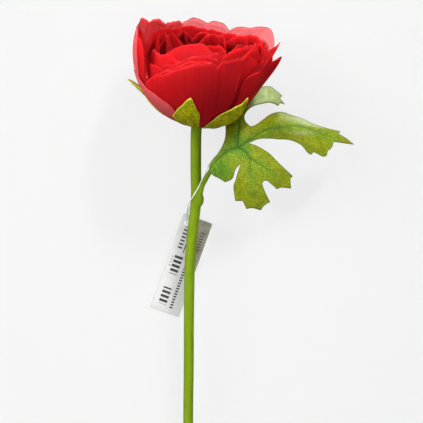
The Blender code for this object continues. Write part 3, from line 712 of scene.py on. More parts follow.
def stem_material():
    """Moulded soft plastic with a satin skin and faint flow marks along it."""
    material, tree, shader = new_material("stem_green", Specular_IOR_Level=0.08)
    where = in_millimetres(tree)
    drawn_out = place(tree, "Mapping", {"Vector": where, "Scale": (1.0, 0.08, 1.0)}).outputs[0]
    flow = mottle(tree, drawn_out, 1.6)
    cloud = mottle(tree, where, 14.0)
    grain = mottle(tree, where, 0.8)
    base = tint(tree, cloud, colour(0.135, 0.215, 0.003), colour(0.165, 0.25, 0.004))
    base = wash(tree, base, flow, 0.3, (0.10, 0.17, 0.003))
    rough = between(tree, flow, 0.0, 1.0, 0.36, 0.5)
    dress(tree, shader, base, rough, maths(tree, "MULTIPLY_ADD", flow, 1.5, grain), 0.03)
    return material


def leaf_material():
    """Printed cloth with pressed veins: speckled yellow-green, greener along the ribs and at the base, with
    a pale sheen painted on the upper lobes.
    """
    material, tree, shader = new_material("leaf_green", Specular_IOR_Level=0.2)
    where = in_millimetres(tree)
    cloud = mottle(tree, where, 6.0)
    pale = specks(tree, where, 0.75, 0.55)
    dark = specks(tree, where, 0.8, 0.45)
    red = specks(tree, where, 1.3, 0.08)
    threads, _ = weave(tree, where, 0.5, 0.3)
    edge = between(tree, attribute(tree, "rim"), 0.0, 0.9, 0.55, 0.0)
    base = tint(tree, cloud, colour(0.17, 0.235, 0.001), colour(0.25, 0.28, 0.002))
    base = tint(tree, attribute(tree, "green"), base, colour(0.07, 0.24, 0.008))
    base = wash(tree, base, pale, 0.58, (0.46, 0.46, 0.04))
    base = wash(tree, base, dark, 0.62, (0.07, 0.13, 0.002))
    base = wash(tree, base, red, 0.4, (0.34, 0.13, 0.02))
    # Painted sheen: pale highlight on the upper lobes.
    base = wash(tree, base, attribute(tree, "painted_sheen"), 0.75, (0.47, 0.54, 0.32))
    base = tint(tree, attribute(tree, "vein"), base, colour(0.02, 0.075, 0.004))
    base = tint(tree, edge, base, colour(0.09, 0.10, 0.012))
    rough = between(tree, cloud, 0.0, 1.0, 0.4, 0.55)
    dress(tree, shader, base, rough, maths(tree, "MULTIPLY_ADD", pale, 1.0, threads), 0.06)
    return material


def printed_block(tree, spot, left, right, low, high, pitch, share):
    """A printed patch of the card; its bars repeat at the pitch and take up a share of it."""
    patch = times(tree, inside(tree, spot[0], left, right), inside(tree, spot[1], low, high))
    bars = maths(tree, "LESS_THAN", maths(tree, "FRACT", maths(tree, "DIVIDE", spot[1], pitch)), share)
    return times(tree, patch, bars)


def tag_material():
    """White card with painted shade past a slanting line, and a plain printed pattern of rules and blocks.
    """
    material, tree, shader = new_material("tag_card", Specular_IOR_Level=0.22, Coat_Weight=0.04)
    cut = flat_cut(tree)
    spot = place(tree, "SeparateXYZ", {0: cut}).outputs
    cloud = mottle(tree, cut, 5.0)
    # Painted shade: the card is painted darker past a slanting line, as in the stem's shadow.
    painted_card_shade = between(tree, maths(tree, "MULTIPLY_ADD", spot[1], 0.31, spot[0]), 20.0, 23.0)
    edge = between(tree, attribute(tree, "rim"), 0.0, 0.4, 0.4, 0.0)
    ink = printed_block(tree, spot, *PRINTED_BLOCKS[0])
    for block in PRINTED_BLOCKS[1:]:
        ink = maths(tree, "MAXIMUM", ink, printed_block(tree, spot, *block))
    base = tint(tree, cloud, colour(0.50, 0.50, 0.49), colour(0.56, 0.56, 0.55))
    base = wash(tree, base, painted_card_shade, maths(tree, "MULTIPLY_ADD", cloud, 0.3, 0.7), (0.09, 0.08, 0.032))
    base = wash(tree, base, ink, 0.97, (0.012, 0.012, 0.013))
    base = tint(tree, edge, base, colour(0.42, 0.42, 0.40))
    rough = maths(tree, "MULTIPLY_ADD", ink, -0.12, 0.42)
    dress(tree, shader, base, rough, mottle(tree, cut, 0.5), 0.015)
    return material


def thread_material():
    """Clear nylon, a little milky."""
    material, tree, shader = new_material("loop_nylon", Specular_IOR_Level=0.6, Transmission_Weight=0.25)
    cloud = mottle(tree, in_millimetres(tree), 1.5)
    base = tint(tree, cloud, colour(0.74, 0.76, 0.66), colour(0.88, 0.9, 0.84))
    dress(tree, shader, base, between(tree, cloud, 0.0, 1.0, 0.2, 0.35), cloud, 0.02)
    return material


# ---------------------------------------------------------------- camera, thread and knot

def add_camera():
    """Looks at the flower's front from far off."""
    camera = new_object("Camera", bpy.data.cameras.new("Camera"))
    camera.data.sensor_width = 36
    camera.data.lens = VIEW_LENS
    camera.data.clip_start = 0.1
    camera.data.clip_end = 20
    turn = Matrix.Rotation(STEM_SLOPE, 4, "X")
    camera.matrix_world = Matrix.Translation(VIEW_CENTRE) @ turn @ Matrix.Translation((0, 0, VIEW_DISTANCE))
    bpy.context.scene.camera = camera


def add_thread(material):
    """The nylon loop, one open line from its knot round to its knot."""
    points = smooth_curve([FLOWER @ (Vector(p) * MM) for p in THREAD_ROUTE], THREAD_STEP)
    thread = new_line("tag_thread", points)
    thread.data.bevel_depth = THREAD_RADIUS
    thread.data.bevel_resolution = 3
    thread.data.use_fill_caps = True
    thread.data.splines[0].use_smooth = True
    thread.data.materials.append(material)
    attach(thread, "root")
    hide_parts("tag_loop")
    return thread, points, sum(steps_of(points))


def add_knot(at, material):
    """The small overhand knot that closes the loop, tied behind the tag."""
    turns = np.linspace(0, 2 * math.pi, KNOT_POINTS + 1)[:-1]
    across = np.sin(turns) + 2 * np.sin(2 * turns)
    along = np.cos(turns) - 2 * np.cos(2 * turns)
    deep = -1.4 * np.sin(3 * turns)
    start_clean()
    knot = new_line("tag_knot", np.column_stack((across, along, deep)) * KNOT_SIZE)
    knot.data.bevel_depth = THREAD_RADIUS
    knot.data.bevel_resolution = 2
    knot.data.splines[0].use_cyclic_u = True
    knot.location = at
    select_only(knot)
    bpy.ops.object.convert(target="MESH")
    knot = bpy.context.object
    bpy.ops.object.shade_smooth()
    return finish_piece(knot, "tag_knot", material, "loop_nylon")


# ---------------------------------------------------------------- bloom

@dataclass
class Petal:
    """One petal of the bloom, in degrees and millimetres.

    Its rim runs from side to side through places round the bowl, 0 at the front and 90 on the leaf's side.
    With each place comes how far the petal closes there, 90 upright and 180 over the middle, and how far it
    leans out.
    """

    radius: float  # of the bowl, where it is widest
    root: float  # how high its root sits
    depth: float  # from its root up to where it is widest
    rim: list
    hold: float = 0.75  # how wide its root is beside its rim
    sway: float = 0.0  # degrees that it turns round the bowl on its way up
    fray: float = 1.0  # how much its cut rim strays
    deep: float = 0.0  # painted shade: how dark it is painted inside the bloom
    deep_from: float = 3.0  # how far below its rim that painted shade starts
    ruffle: float = 0.0
    fresh: tuple = (0.0, 0.0)  # painted light: how brightly lit its red is painted on each side
    thin: float = 0.0  # painted backlight: how much pale pink is painted on its rim for the light it lets through
    thin_from: float = 0.8  # the share of its length above which that painted backlight starts
    columns: int = 30
    rows: int = 30


def set_painted_light_shade_and_fray(petals, **finish):
    """Gives petals the same settings of painted light, painted shade and fray."""
    for petal in petals:
        for part, value in finish.items():
            setattr(petal, part, value)


def outer_petals():
    """The petals that show from the side: the front and the sides, then the back."""
    front = [
        Petal(37.6, 0.4, 38, [
            (-129, 88), (-124, 98), (-113, 105, 1.5), (-103, 104), (-91, 103), (-79, 104), (-73, 99),
            (-69, 92), (-67, 84), (-67, 77), (-68, 68),
        ], hold=0.95, fresh=(1.0, 1.0), thin=0.4, thin_from=0.3, columns=44),
        Petal(38.2, -0.1, 38.6, [
            (-118, 50), (-108, 60), (-96, 67), (-84, 70), (-74, 71), (-65, 69), (-57, 66), (-49, 63),
            (-41, 60), (-33, 56), (-27, 52), (-23, 46),
        ], hold=0.95, fresh=(1.0, 1.0), thin=0.38, thin_from=0.0, columns=44),
        Petal(37.2, -0.3, 39.2, [
            (-62, 58), (-50, 72), (-35, 80), (-22, 87), (-10, 93), (0, 96), (8, 96.5), (12, 89),
        ], hold=1.15, fresh=(0.9, -0.4)),
        Petal(36.2, 0.0, 39, [
            (6, 84), (11, 92), (16, 97.5), (22, 99), (28, 100), (31.5, 99), (33, 93), (31, 84),
        ], hold=0.3),
        Petal(37.4, 0.8, 38, [
            (34.5, 72), (35.5, 80), (39, 86), (46, 89), (55, 90), (64, 93), (73, 98, 3.7), (77, 86, 0.9),
            (80, 74),
        ], hold=0.95, ruffle=0.35),
        Petal(35.6, 2.0, 36.6, [
            (52, 94), (58, 98), (64, 101.5), (70, 105, 1.5), (76, 109, 4.8), (72, 104, 2.5),
            (66, 97, 0.6),
        ], hold=0.9, fresh=(0.1, 0.0), sway=50, deep=0.3, deep_from=-1.0),
        Petal(36.6, 0.8, 38, [
            (76, 70), (82, 76), (90, 81), (99, 88), (107, 92), (114, 84),
        ], fresh=(0.5, 0.8)),
        Petal(35.2, 1.6, 36.6, [
            (-84, 52), (-70, 58), (-58, 66), (-46, 76), (-34, 83), (-22, 86),
        ], hold=0.9, fresh=(0.3, 0.2)),
        Petal(35.0, 1.8, 36.6, [
            (-44, 74), (-36, 82), (-28, 87), (-18, 92), (-8, 97), (6, 98), (16, 92),
        ], hold=0.9, fresh=(0.4, 0.3)),
        Petal(33.2, 2.6, 36.0, [
            (18, 88), (30, 98), (37, 101), (44, 101.5), (51, 98), (58, 92),
        ], hold=0.9, fresh=(0.2, 0.2)),
    ]
    back = [
        Petal(35.2, 1.6, 36.6, [
            (-108, 86), (-112, 96), (-115, 102), (-120, 104), (-127, 103.5), (-134, 101), (-141, 97),
            (-148, 90),
        ], fresh=(1.0, 1.0), thin=0.18, thin_from=0.4),
        Petal(36.0, 1.6, 36.6, [
            (-132, 90), (-139, 96), (-145, 98.5), (-151, 99), (-157, 97), (-164, 90),
        ], fresh=(1.0, 1.0), thin=0.18, thin_from=0.4),
        Petal(36.9, 0.8, 38, [
            (207, 90), (202, 96), (198, 99), (194, 100.5), (190, 100), (186, 98), (182, 97.2),
            (178, 99.2), (174, 100), (170, 99), (166, 96.5), (162, 93), (156, 86),
        ], fresh=(1.0, 1.0), thin=1.0, thin_from=0.86),
        Petal(37.2, 0.8, 38, [
            (168, 84), (163, 93), (158, 97), (151, 99.5), (144, 100.5), (135, 104), (126, 106),
            (118, 107), (111.5, 105), (108, 98), (110, 92), (118, 84),
        ], hold=0.95, fresh=(1.0, 1.0), thin=1.0, thin_from=0.6, columns=40, fray=0.4, sway=-42),
    ]
    return front + back


def inner_petals():
    """The petals inside, from the bowl's wall to the heart. Those in front close over the middle."""
    front = [
        Petal(31.5, 4, 27, [
            (-46, 94), (-40, 100), (-32, 103), (-24, 108), (-15, 114), (-5, 119), (4, 120), (13, 116),
            (20, 106),
        ], ruffle=0.3),
        Petal(29.5, 4, 22, [
            (-64, 108), (-57, 121), (-52, 130), (-48, 138), (-39, 147), (-27, 152), (-7, 156), (8, 147),
            (14, 134),
        ]),
        Petal(24, 5, 22.5, [
            (-62, 112), (-50, 126), (-35, 134), (-14, 138), (3, 136), (16, 124),
        ], ruffle=0.3),
        Petal(28, 4.4, 24, [
            (-4, 116), (5, 128), (14, 132.5), (23, 130.5), (28, 124), (34, 112),
        ], ruffle=0.3),
        Petal(30, 4, 28, [
            (12, 104), (21, 116), (29, 120.5), (40, 124.5), (53, 124), (60, 118), (68, 106),
        ], ruffle=0.3),
        Petal(32.5, 3.6, 31, [
            (35, 98), (40, 110), (48, 114.5), (58, 116), (65, 110), (70, 100),
        ], ruffle=0.2),
        Petal(26, 4.6, 26, [(30, 118), (45, 130), (60, 130), (76, 126), (90, 114)], ruffle=0.5),
    ]
    left = [
        Petal(37.1, 0.8, 37.6, [
            (-59, 66), (-57, 82), (-60, 94), (-70, 101), (-84, 102), (-97, 100), (-107, 98), (-115, 92),
            (-122, 87), (-130, 78),
        ], hold=1.5),
        Petal(34.2, 2.4, 36, [(-94, 78), (-99, 90), (-104.5, 95), (-112, 87), (-120, 80), (-128, 70)]),
        Petal(32.5, 3.6, 32, [
            (-61, 72), (-60, 82), (-57, 86.5), (-51, 87), (-44, 86), (-37, 83), (-31, 76),
        ], hold=1.0),
        Petal(30, 4, 30, [
            (-71, 91), (-67, 100), (-56, 101), (-47, 101), (-36, 104), (-24, 100),
        ], hold=1.0),
        Petal(28, 5, 33, [(-109, 83), (-112, 92), (-114.5, 102), (-117, 95), (-116, 84)], sway=10),
        Petal(24, 5, 31, [
            (-121, 84), (-117, 96), (-108, 105), (-117, 101), (-125, 98), (-138, 82),
        ], sway=32),
        Petal(22, 5, 31, [
            (-135, 85), (-120, 99), (-102, 113), (-124, 102), (-139, 94), (-153, 85),
        ], sway=60),
    ]
    right = [
        Petal(32.2, 3, 35, [
            (60, 92), (70, 102), (80, 105.5), (92, 105), (104, 101), (112, 92),
        ], ruffle=0.3),
        Petal(29.5, 4, 32, [(72, 98), (84, 107), (96, 108), (108, 103), (118, 94)], ruffle=0.5),
        Petal(28, 4.6, 28, [(60, 108), (76, 119), (92, 119), (106, 112), (118, 100)], ruffle=0.5),
    ]
    back = [
        Petal(33.4, 3, 35, [
            (-112, 84), (-122, 94), (-131, 96), (-141, 95), (-151, 95), (-162, 88),
        ], ruffle=0.3),
        Petal(34.2, 3, 35, [
            (210, 88), (202, 97), (192, 96), (183, 94.5), (176, 95), (168, 93), (160, 86),
        ], ruffle=0.2),
        Petal(33.0, 3.4, 34, [
            (178, 86), (170, 93), (163, 95), (157, 96.5), (150, 95), (142, 88),
        ], ruffle=0.2),
        Petal(33.6, 3, 35, [
            (158, 88), (150, 95), (139, 98), (130, 99), (119, 97), (114, 90), (110, 82),
        ], ruffle=0.2),
        Petal(30.5, 4, 32, [(-124, 82), (-134, 92), (-145, 94), (-156, 95), (-168, 90)], ruffle=0.5),
        Petal(30.0, 4, 32, [(200, 86), (190, 96), (179, 97), (168, 96), (158, 88)], ruffle=0.5),
        Petal(28, 4.4, 31, [
            (166, 88), (157, 95), (150, 101), (142, 104), (133, 104), (130, 98), (126, 88),
        ]),
        Petal(27, 5, 31, [(-140, 84), (-146, 93), (-151, 100.5), (-155, 94), (-160, 88), (-168, 82)]),
        Petal(26, 5, 30, [(128, 92), (118, 102), (108, 104), (98, 106), (90, 98)], ruffle=0.5),
        Petal(24, 5, 27, [(196, 92), (186, 103), (180, 110), (171, 112), (163, 106), (156, 94)]),
        Petal(21, 5, 28, [(164, 90), (162, 106), (156, 110), (152, 104), (148, 90)]),
    ]
    # Painted light, painted shade and fray for each group of petals.
    set_painted_light_shade_and_fray(front, fresh=(0.1, 0.0))
    set_painted_light_shade_and_fray(front[:3], deep=0.12, deep_from=1.0)
    set_painted_light_shade_and_fray(left, fresh=(1.0, 1.0))
    set_painted_light_shade_and_fray(left[2:4], fresh=(0.5, 0.5))
    set_painted_light_shade_and_fray(left[4:], fray=1.2, deep=0.1)
    set_painted_light_shade_and_fray(right, fresh=(0.8, 0.8), fray=1.2, deep=0.75)
    set_painted_light_shade_and_fray(back[:4], fresh=(0.8, 0.8), fray=1.2, deep=0.75)
    set_painted_light_shade_and_fray([back[1]], fresh=(0.8, -0.3))
    set_painted_light_shade_and_fray([back[2]], fresh=(0.3, 0.8))
    set_painted_light_shade_and_fray(back[4:], fresh=(0.8, 0.8), fray=1.2, deep=0.95, deep_from=1.2)
    set_painted_light_shade_and_fray([back[4], back[7]], deep_from=-1.8)
    set_painted_light_shade_and_fray([back[5]], deep_from=0.0)
    set_painted_light_shade_and_fray([back[9]], deep=0.6)
    return front + left + right + back + heart_petals()


def heart_petals():
    """The crumpled petals in the middle, ring by ring, each narrower and more closed than the one before."""
    draw = random.Random(11)
    heart = []
    for count, radius, root, depth, closing in HEART_RINGS:
        turn = draw.uniform(0, 360)
        for k in range(count):
            middle = turn + 360 * (k + draw.uniform(-0.12, 0.12)) / count
            half = HEART_REACH / count
            behind = 0.5 - 0.5 * math.cos(math.radians(middle))
            top = closing + draw.uniform(-8, 8) - 10 * behind
            peak = draw.uniform(-0.3, 0.3)
            rim = [
                (middle - half, 0.82 * top),
                (middle - 0.55 * half, 0.96 * top),
                (middle + peak * half, top),
                (middle + 0.55 * half, 0.97 * top + draw.uniform(-4, 2)),
                (middle + half, 0.82 * top),
            ]
            size = radius + draw.uniform(-0.9, 0.9)
            heart.append(Petal(size, root, depth, rim, ruffle=draw.uniform(0.3, 0.9), columns=24, rows=24))
    # Painted light, and painted shade deep in the heart.
    set_painted_light_shade_and_fray(heart, fresh=(0.8, 0.8), fray=1.8, deep=0.9, deep_from=1.8)
    return heart


def through(values, t):
    """A smooth run through evenly spaced values, at t from 0 to 1."""
    values = np.asarray(values, dtype=float)
    spot = np.clip(t, 0, 1) * (len(values) - 1)
    k = np.minimum(spot.astype(int), len(values) - 2)
    f = spot - k
    ends = np.concatenate([[2 * values[0] - values[1]], values, [2 * values[-1] - values[-2]]])
    a, b, c, d = ends[k], ends[k + 1], ends[k + 2], ends[k + 3]
    return b + 0.5 * f * ((c - a) + f * (2 * a - 5 * b + 4 * c - d + f * (3 * (b - c) + d - a)))


def wave(angle, draw):
    """A wave over the given angles that starts at a drawn place."""
    return np.sin(angle + draw.uniform(0, 6))


def petal_surface(petal, u, v, draw):
    """The petal's middle surface, for u from -1 to 1 across it and v from 0 at its root to 1 at its rim."""
    rim = [(*place, 0.0)[:3] for place in petal.rim]
    rim_azimuth, rim_closing, rim_lean = (through(column, (u + 1) / 2) for column in zip(*rim))
    most = max(place[1] for place in rim)
    wander = RIM_WANDER * wave(7 * u, draw) + RIM_FLUTTER * wave(17 * u, draw)
    closing = (rim_closing + wander * petal.fray * v**3) * v
    across = rim_azimuth - petal.sway * (rim_closing / most) ** 3
    middle = (across.min() + across.max()) / 2
    spread = 1 + (petal.hold - 1) * np.maximum(0, 1 - v) ** 1.2
    azimuth = np.radians(middle + (across - middle) * spread + petal.sway * (closing / most) ** 3)
    phi = np.radians(closing)
    radius = PETAL_ROOT_RADIUS + (petal.radius - PETAL_ROOT_RADIUS) * np.sin(phi) + rim_lean * v**5
    side = smooth((azimuth - PINCH_FROM) / PINCH_FADE) * smooth((PINCH_TO - azimuth) / PINCH_FADE)
    low = smooth((PINCH_TOP - phi) / PINCH_FADE)
    foot = np.minimum(1, phi / PINCH_FOOT)
    radius = radius - PINCH * side * low * foot * petal.radius / PINCH_AT_RADIUS
    radius = radius + petal.ruffle * v**3 * wave(2.5 * math.pi * u, draw)
    pleat = PLEAT_DEPTH * smooth(v / 0.4) * wave(9 * u + 1.5 * np.sin(3 * u + 2 * v), draw)
    dent = DENT_DEPTH * smooth(v / 0.5) * wave(3.1 * u + 4 * v, draw)
    radius = radius + pleat + dent
    height = petal.root + petal.depth * (1 - np.cos(phi))
    return np.stack([radius * np.sin(azimuth), -radius * np.cos(azimuth), height], axis=1)


def half_width(petal):
    """Half of how far a petal reaches round the bowl."""
    azimuths = [place[0] for place in petal.rim]
    return math.radians(max(azimuths) - min(azimuths)) / 2 * petal.radius


def add_petal(name, petal, number, material):
    """Cuts one petal from flat cloth, cups it to its place and gives the cloth its thickness."""
    sheet, u, v = cut_sheet(petal.columns, petal.rows)
    draw = random.Random(100 + number)
    points = petal_surface(petal, u, v, draw)
    side = half_width(petal)
    length = petal.depth * PETAL_LENGTH
    flat = np.stack([u * side * (0.5 + 0.5 * v), v * length], axis=1) + np.array(CUT_SHIFT) * number
    world = moved(HEAD, points * MM)
    world[:, 2] = np.maximum(world[:, 2], PETAL_CLOTH / 2 + PETAL_REST * (number + 1))
    write_points(sheet.data, world)
    lay_map(sheet.data, "Cut", flat)
    note(sheet.data, "rim", np.minimum((1 - v) * length, (1 - np.abs(u)) * side))
    note(sheet.data, "grow", np.clip(v + draw.uniform(-0.12, 0.12), 0, 1))
    # Painted shade deep inside the bloom.
    note(sheet.data, "deep", petal.deep * smooth(((1 - v) * length - petal.deep_from) / PAINTED_SHADE_FADE))
    # Painted light: brighter red on the side painted as lit.
    note(sheet.data, "fresh", np.clip(np.interp(u, (-1, 1), petal.fresh), 0, 1))
    # Painted backlight: pale pink near the rim for light let through.
    note(sheet.data, "thin", petal.thin * smooth((v - petal.thin_from) / THIN_FADE))
    thicken(sheet, PETAL_CLOTH)
    return finish_piece(sheet, name, material, "petal_red", "bloom")


def add_core(material):
    """The slim core on which all the petals are wound."""
    start_clean()
    bpy.ops.mesh.primitive_cylinder_add(vertices=24, radius=CORE_RADIUS, depth=CORE_HEIGHT)
    core = bpy.context.object
    bpy.ops.object.mode_set(mode="EDIT")
    bpy.ops.mesh.select_all(action="SELECT")
    bpy.ops.mesh.bevel(offset=CORE_BEVEL, segments=4, affect="EDGES")
    bpy.ops.object.mode_set(mode="OBJECT")
    upright = read_points(core.data) + np.array([0, 0, CORE_HEIGHT / 2 + CORE_START])
    write_points(core.data, moved(HEAD, upright))
    points = read_points(core.data)
    lay_map(core.data, "Cut", points[:, :2] / MM)
    for name, value in {"rim": 5.0, "grow": 0.0, "thin": 0.0, "fresh": 0.0}.items():
        note(core.data, name, np.full(len(points), value))
    select_only(core)
    bpy.ops.object.shade_smooth()
    return finish_piece(core, "bloom_core", material, "petal_red", "bloom")


# ---------------------------------------------------------------- calyx

def add_calyx(material):
    """Five pointed sepals that hold the back of the bloom, grown together round the stem."""
    sheets = []
    for number, rim in enumerate(SEPALS):
        root = SEPAL_ROOT - SEPAL_STEP * number
        sepal = Petal(SEPAL_RADIUS, root, SEPAL_DEPTH, rim, hold=1.2, columns=34)
        sheet, u, v = cut_sheet(sepal.columns, sepal.rows)
        points = petal_surface(sepal, u, v, random.Random(300 + number))
        points[:, 2] -= SEPAL_CREASE * np.exp(-((u / 0.12) ** 2)) * smooth(v / 0.3)
        write_points(sheet.data, moved(HEAD, points * MM))
        note(sheet.data, "rim", np.minimum((1 - v) * SEPAL_LENGTH, (1 - np.abs(u)) * half_width(sepal)))
        note(sheet.data, "grow", v)
        thicken(sheet, SEPAL_CLOTH)
        sheets.append(sheet)
    select_only(*sheets)
    bpy.ops.object.join()
    return finish_piece(sheets[0], "sepals", material, "sepal_green", "calyx")


# ---------------------------------------------------------------- stem

def route_of(places, step):
    """A smooth route through places in the flower's frame."""
    return [FLOWER @ p for p in smooth_curve([Vector(p) * MM for p in places], step)]


def add_stem(material):
    """The stem with the leaf's stalk and the swelling where they part, moulded as one piece."""
    route = route_of(STEM_ROUTE, STEM_STEP)
    down = np.linspace(0, sum(steps_of(route)) * 1000, STEM_STATIONS)
    taper = np.minimum(1, down / STEM_TAPER_END)
    stem = rod(route, (STEM_TOP_RADIUS + (STEM_CUT_RADIUS - STEM_TOP_RADIUS) * taper) * MM, STEM_SIDES)
    stalk = rod(route_of(STALK_ROUTE, STALK_STEP), np.array(STALK_RADII) * MM, STALK_SIDES)
    start_clean()
    bpy.ops.mesh.primitive_uv_sphere_add(segments=24, ring_count=16, radius=NODE_RADIUS)
    swelling = bpy.context.object
    swelling.scale = (1, NODE_STRETCH, 1)
    bpy.ops.object.transform_apply(location=False, rotation=False, scale=True)
    write_points(swelling.data, moved(FLOWER, read_points(swelling.data) + np.array(NODE_CENTRE) * MM))
    select_only(stem, stalk, swelling)
    bpy.ops.object.join()
    skin = stem.modifiers.new("One skin", "REMESH")
    skin.mode = "VOXEL"
    skin.voxel_size = SKIN_CELL
    apply_modifiers(stem)
    even = stem.modifiers.new("Even out", "SMOOTH")
    even.factor = 0.5
    even.iterations = 6
    apply_modifiers(stem)
    bpy.ops.object.shade_smooth()
    return finish_piece(stem, "stem_and_stalk", material, "stem_green", "stem")


# ---------------------------------------------------------------- leaf

def sheet_heights(spots, samples):
    """The heights at flat spots of a thin springy sheet that passes through (x, y, height) samples."""
    known = np.array(samples)
    count = len(known)

    def kernel(a, b):
        squared = ((a[:, None, :] - b[None, :, :]) ** 2).sum(axis=2) + 1e-6
        return squared * np.log(squared)

    system = np.zeros((count + 3, count + 3))
    plane = np.column_stack((np.ones(count), known[:, :2]))
    system[:count, :count] = kernel(known[:, :2], known[:, :2])
    system[:count, count:] = plane
    system[count:, :count] = plane.T
    weights = np.linalg.solve(system, np.concatenate((known[:, 2], np.zeros(3))))
    flat = np.column_stack((np.ones(len(spots)), spots))
    return kernel(spots, known[:, :2]) @ weights[:count] + flat @ weights[count:]


def leaf_outline():
    """The blade's edge: curves between the teeth, and sharp corners at them."""
    rough = [Vector(p) for p in TOP_LOBE + RIGHT_LOBE + LOW_LOBE + BASE_LOBE]
    count = len(rough)
    sharp = []
    for k in range(count):
        before = rough[k] - rough[k - 1]
        after = rough[(k + 1) % count] - rough[k]
        sharp.append(before.angle(after) > TOOTH_TURN)
    edge = []
    for k in range(count):
        b, c = rough[k], rough[(k + 1) % count]
        a = 2 * b - c if sharp[k] else rough[k - 1]
        d = 2 * c - b if sharp[(k + 1) % count] else rough[(k + 2) % count]
        pieces = max(1, round((c - b).length / LEAF_CELL))
        for step in range(pieces):
            edge.append(on_curve(a, b, c, d, step / pieces))
    return np.array([(p.x, p.y) for p in edge])


def line_distance(spots, line, closed=False):
    """How far each flat spot is from a line of points, and how far along the line the nearest place is."""
    ends = np.roll(line, -1, axis=0) if closed else line[1:]
    starts = line if closed else line[:-1]
    best = np.full(len(spots), 1e9)
    place_along = np.zeros(len(spots))
    travelled = 0.0
    for a, b in zip(starts, ends):
        side = b - a
        size = float(np.hypot(*side))
        t = np.clip(((spots - a) @ side) / (size * size), 0, 1)
        gap = np.hypot(*(spots - a - t[:, None] * side).T)
        nearer = gap < best
        best[nearer] = gap[nearer]
        place_along[nearer] = travelled + t[nearer] * size
        travelled += size
    return best, place_along


def within(spots, edge):
    """Which flat spots lie inside a closed edge."""
    hits = np.zeros(len(spots), dtype=int)
    for a, b in zip(edge, np.roll(edge, -1, axis=0)):
        if a[1] == b[1]:
            continue
        crosses = (a[1] > spots[:, 1]) != (b[1] > spots[:, 1])
        x = a[0] + (b[0] - a[0]) * (spots[:, 1] - a[1]) / (b[1] - a[1])
        hits += crosses & (spots[:, 0] < x)
    return hits % 2 == 1


def leaf_sheet(edge):
    """The flat blade's points and triangles: its edge, filled with even cells."""
    columns = np.arange(*(side / LEAF_CELL for side in LEAF_ACROSS))
    rows = np.arange(*(end / LEAF_CELL for end in LEAF_ALONG))
    x, y = np.meshgrid(columns, rows)
    x = x + 0.5 * (np.round(y) % 2)
    spots = np.stack([x.ravel(), (y * CELL_ROW).ravel()], axis=1) * LEAF_CELL
    clear, _ = line_distance(spots, edge, closed=True)
    spots = spots[within(spots, edge) & (clear > 0.45 * LEAF_CELL)]
    flat = [Vector(p) for p in np.concatenate([edge, spots])]
    loop = [(k, (k + 1) % len(edge)) for k in range(len(edge))]
    flat, _, triangles, _, _, _ = delaunay_2d_cdt(flat, loop, [], 1, 1e-6)
    return np.array([(p.x, p.y) for p in flat]), triangles


def pressed_veins(flat):
    """How deep ribs and side veins are pressed at each flat spot, and how far off the nearest rib is."""
    rib = np.zeros(len(flat))
    vein = np.zeros(len(flat))
    nearest = np.full(len(flat), 1e9)
    for number, points in enumerate(RIBS):
        line = smooth_curve([Vector((*p, 0)) for p in points], 1.0)
        line = np.array([(p.x, p.y) for p in line])
        gap, along = line_distance(flat, line)
        total = float(np.hypot(*np.diff(line, axis=0).T).sum())
        fade = 1 - RIB_TAPER * along / total
        width = RIB_WIDTH * (0.5 + 0.5 * fade)
        rib = np.maximum(rib, np.exp(-((gap / width) ** 2)) * fade)
        turn = (along - VEIN_LEAN * gap) / VEIN_SPACING + VEIN_SHIFT * number
        off = np.abs(turn - np.round(turn)) * VEIN_SPACING * VEIN_SQUARE
        side = np.exp(-((off / VEIN_WIDTH) ** 2)) * smooth(gap / 1.5) * np.exp(-((gap / VEIN_REACH) ** 2))
        mine = gap < nearest
        vein[mine] = side[mine]
        nearest[mine] = gap[mine]
    return rib, vein, nearest


def soft_spot(flat, centre, size):
    """1 at the centre, and fading out over the size across and along."""
    x, y = ((flat - centre) / size).T
    return np.exp(-(x**2) - y**2)


def leaf_painted_sheen(flat, rim):
    """Painted sheen: where the leaf is painted pale as if catching the lamps, along the right lobe's upper
    edge, on a ridge and on the top lobe.
    """
    x, y = flat.T
    upper = smooth((y - 10.6 + 0.12 * np.maximum(0, x - 30)) / 2.0)
    upper = upper * smooth((x - 19) / 5) * smooth((58 - x) / 8)
    strip = upper * np.exp(-((np.maximum(0, rim - 1.0) / 2.2) ** 2)) * (0.55 + 0.45 * smooth((x - 26) / 8))
    ridge = 0.45 * soft_spot(flat, (34, 7.3), (5.5, 1.0))
    lobe = 0.55 * smooth((y - 19 + 0.2 * x) / 5)
    tip = soft_spot(flat, (14.6, 27.5), (1.9, 4.5))
    return np.clip(np.maximum.reduce([strip, ridge, lobe, tip]), 0, 1)


def leaf_green(flat, nearest):
    """Where the print is greener: along the ribs, at the base and round the hub."""
    along_ribs = np.exp(-((nearest / 2.6) ** 2))
    base = smooth((8.0 - np.hypot(flat[:, 0] + 8.0, flat[:, 1] + 12.5)) / 6.0)
    hub = smooth((11.0 - np.hypot(flat[:, 0], flat[:, 1])) / 8.0)
    return np.clip(0.5 * along_ribs + 0.85 * base + 0.5 * hub, 0, 1)


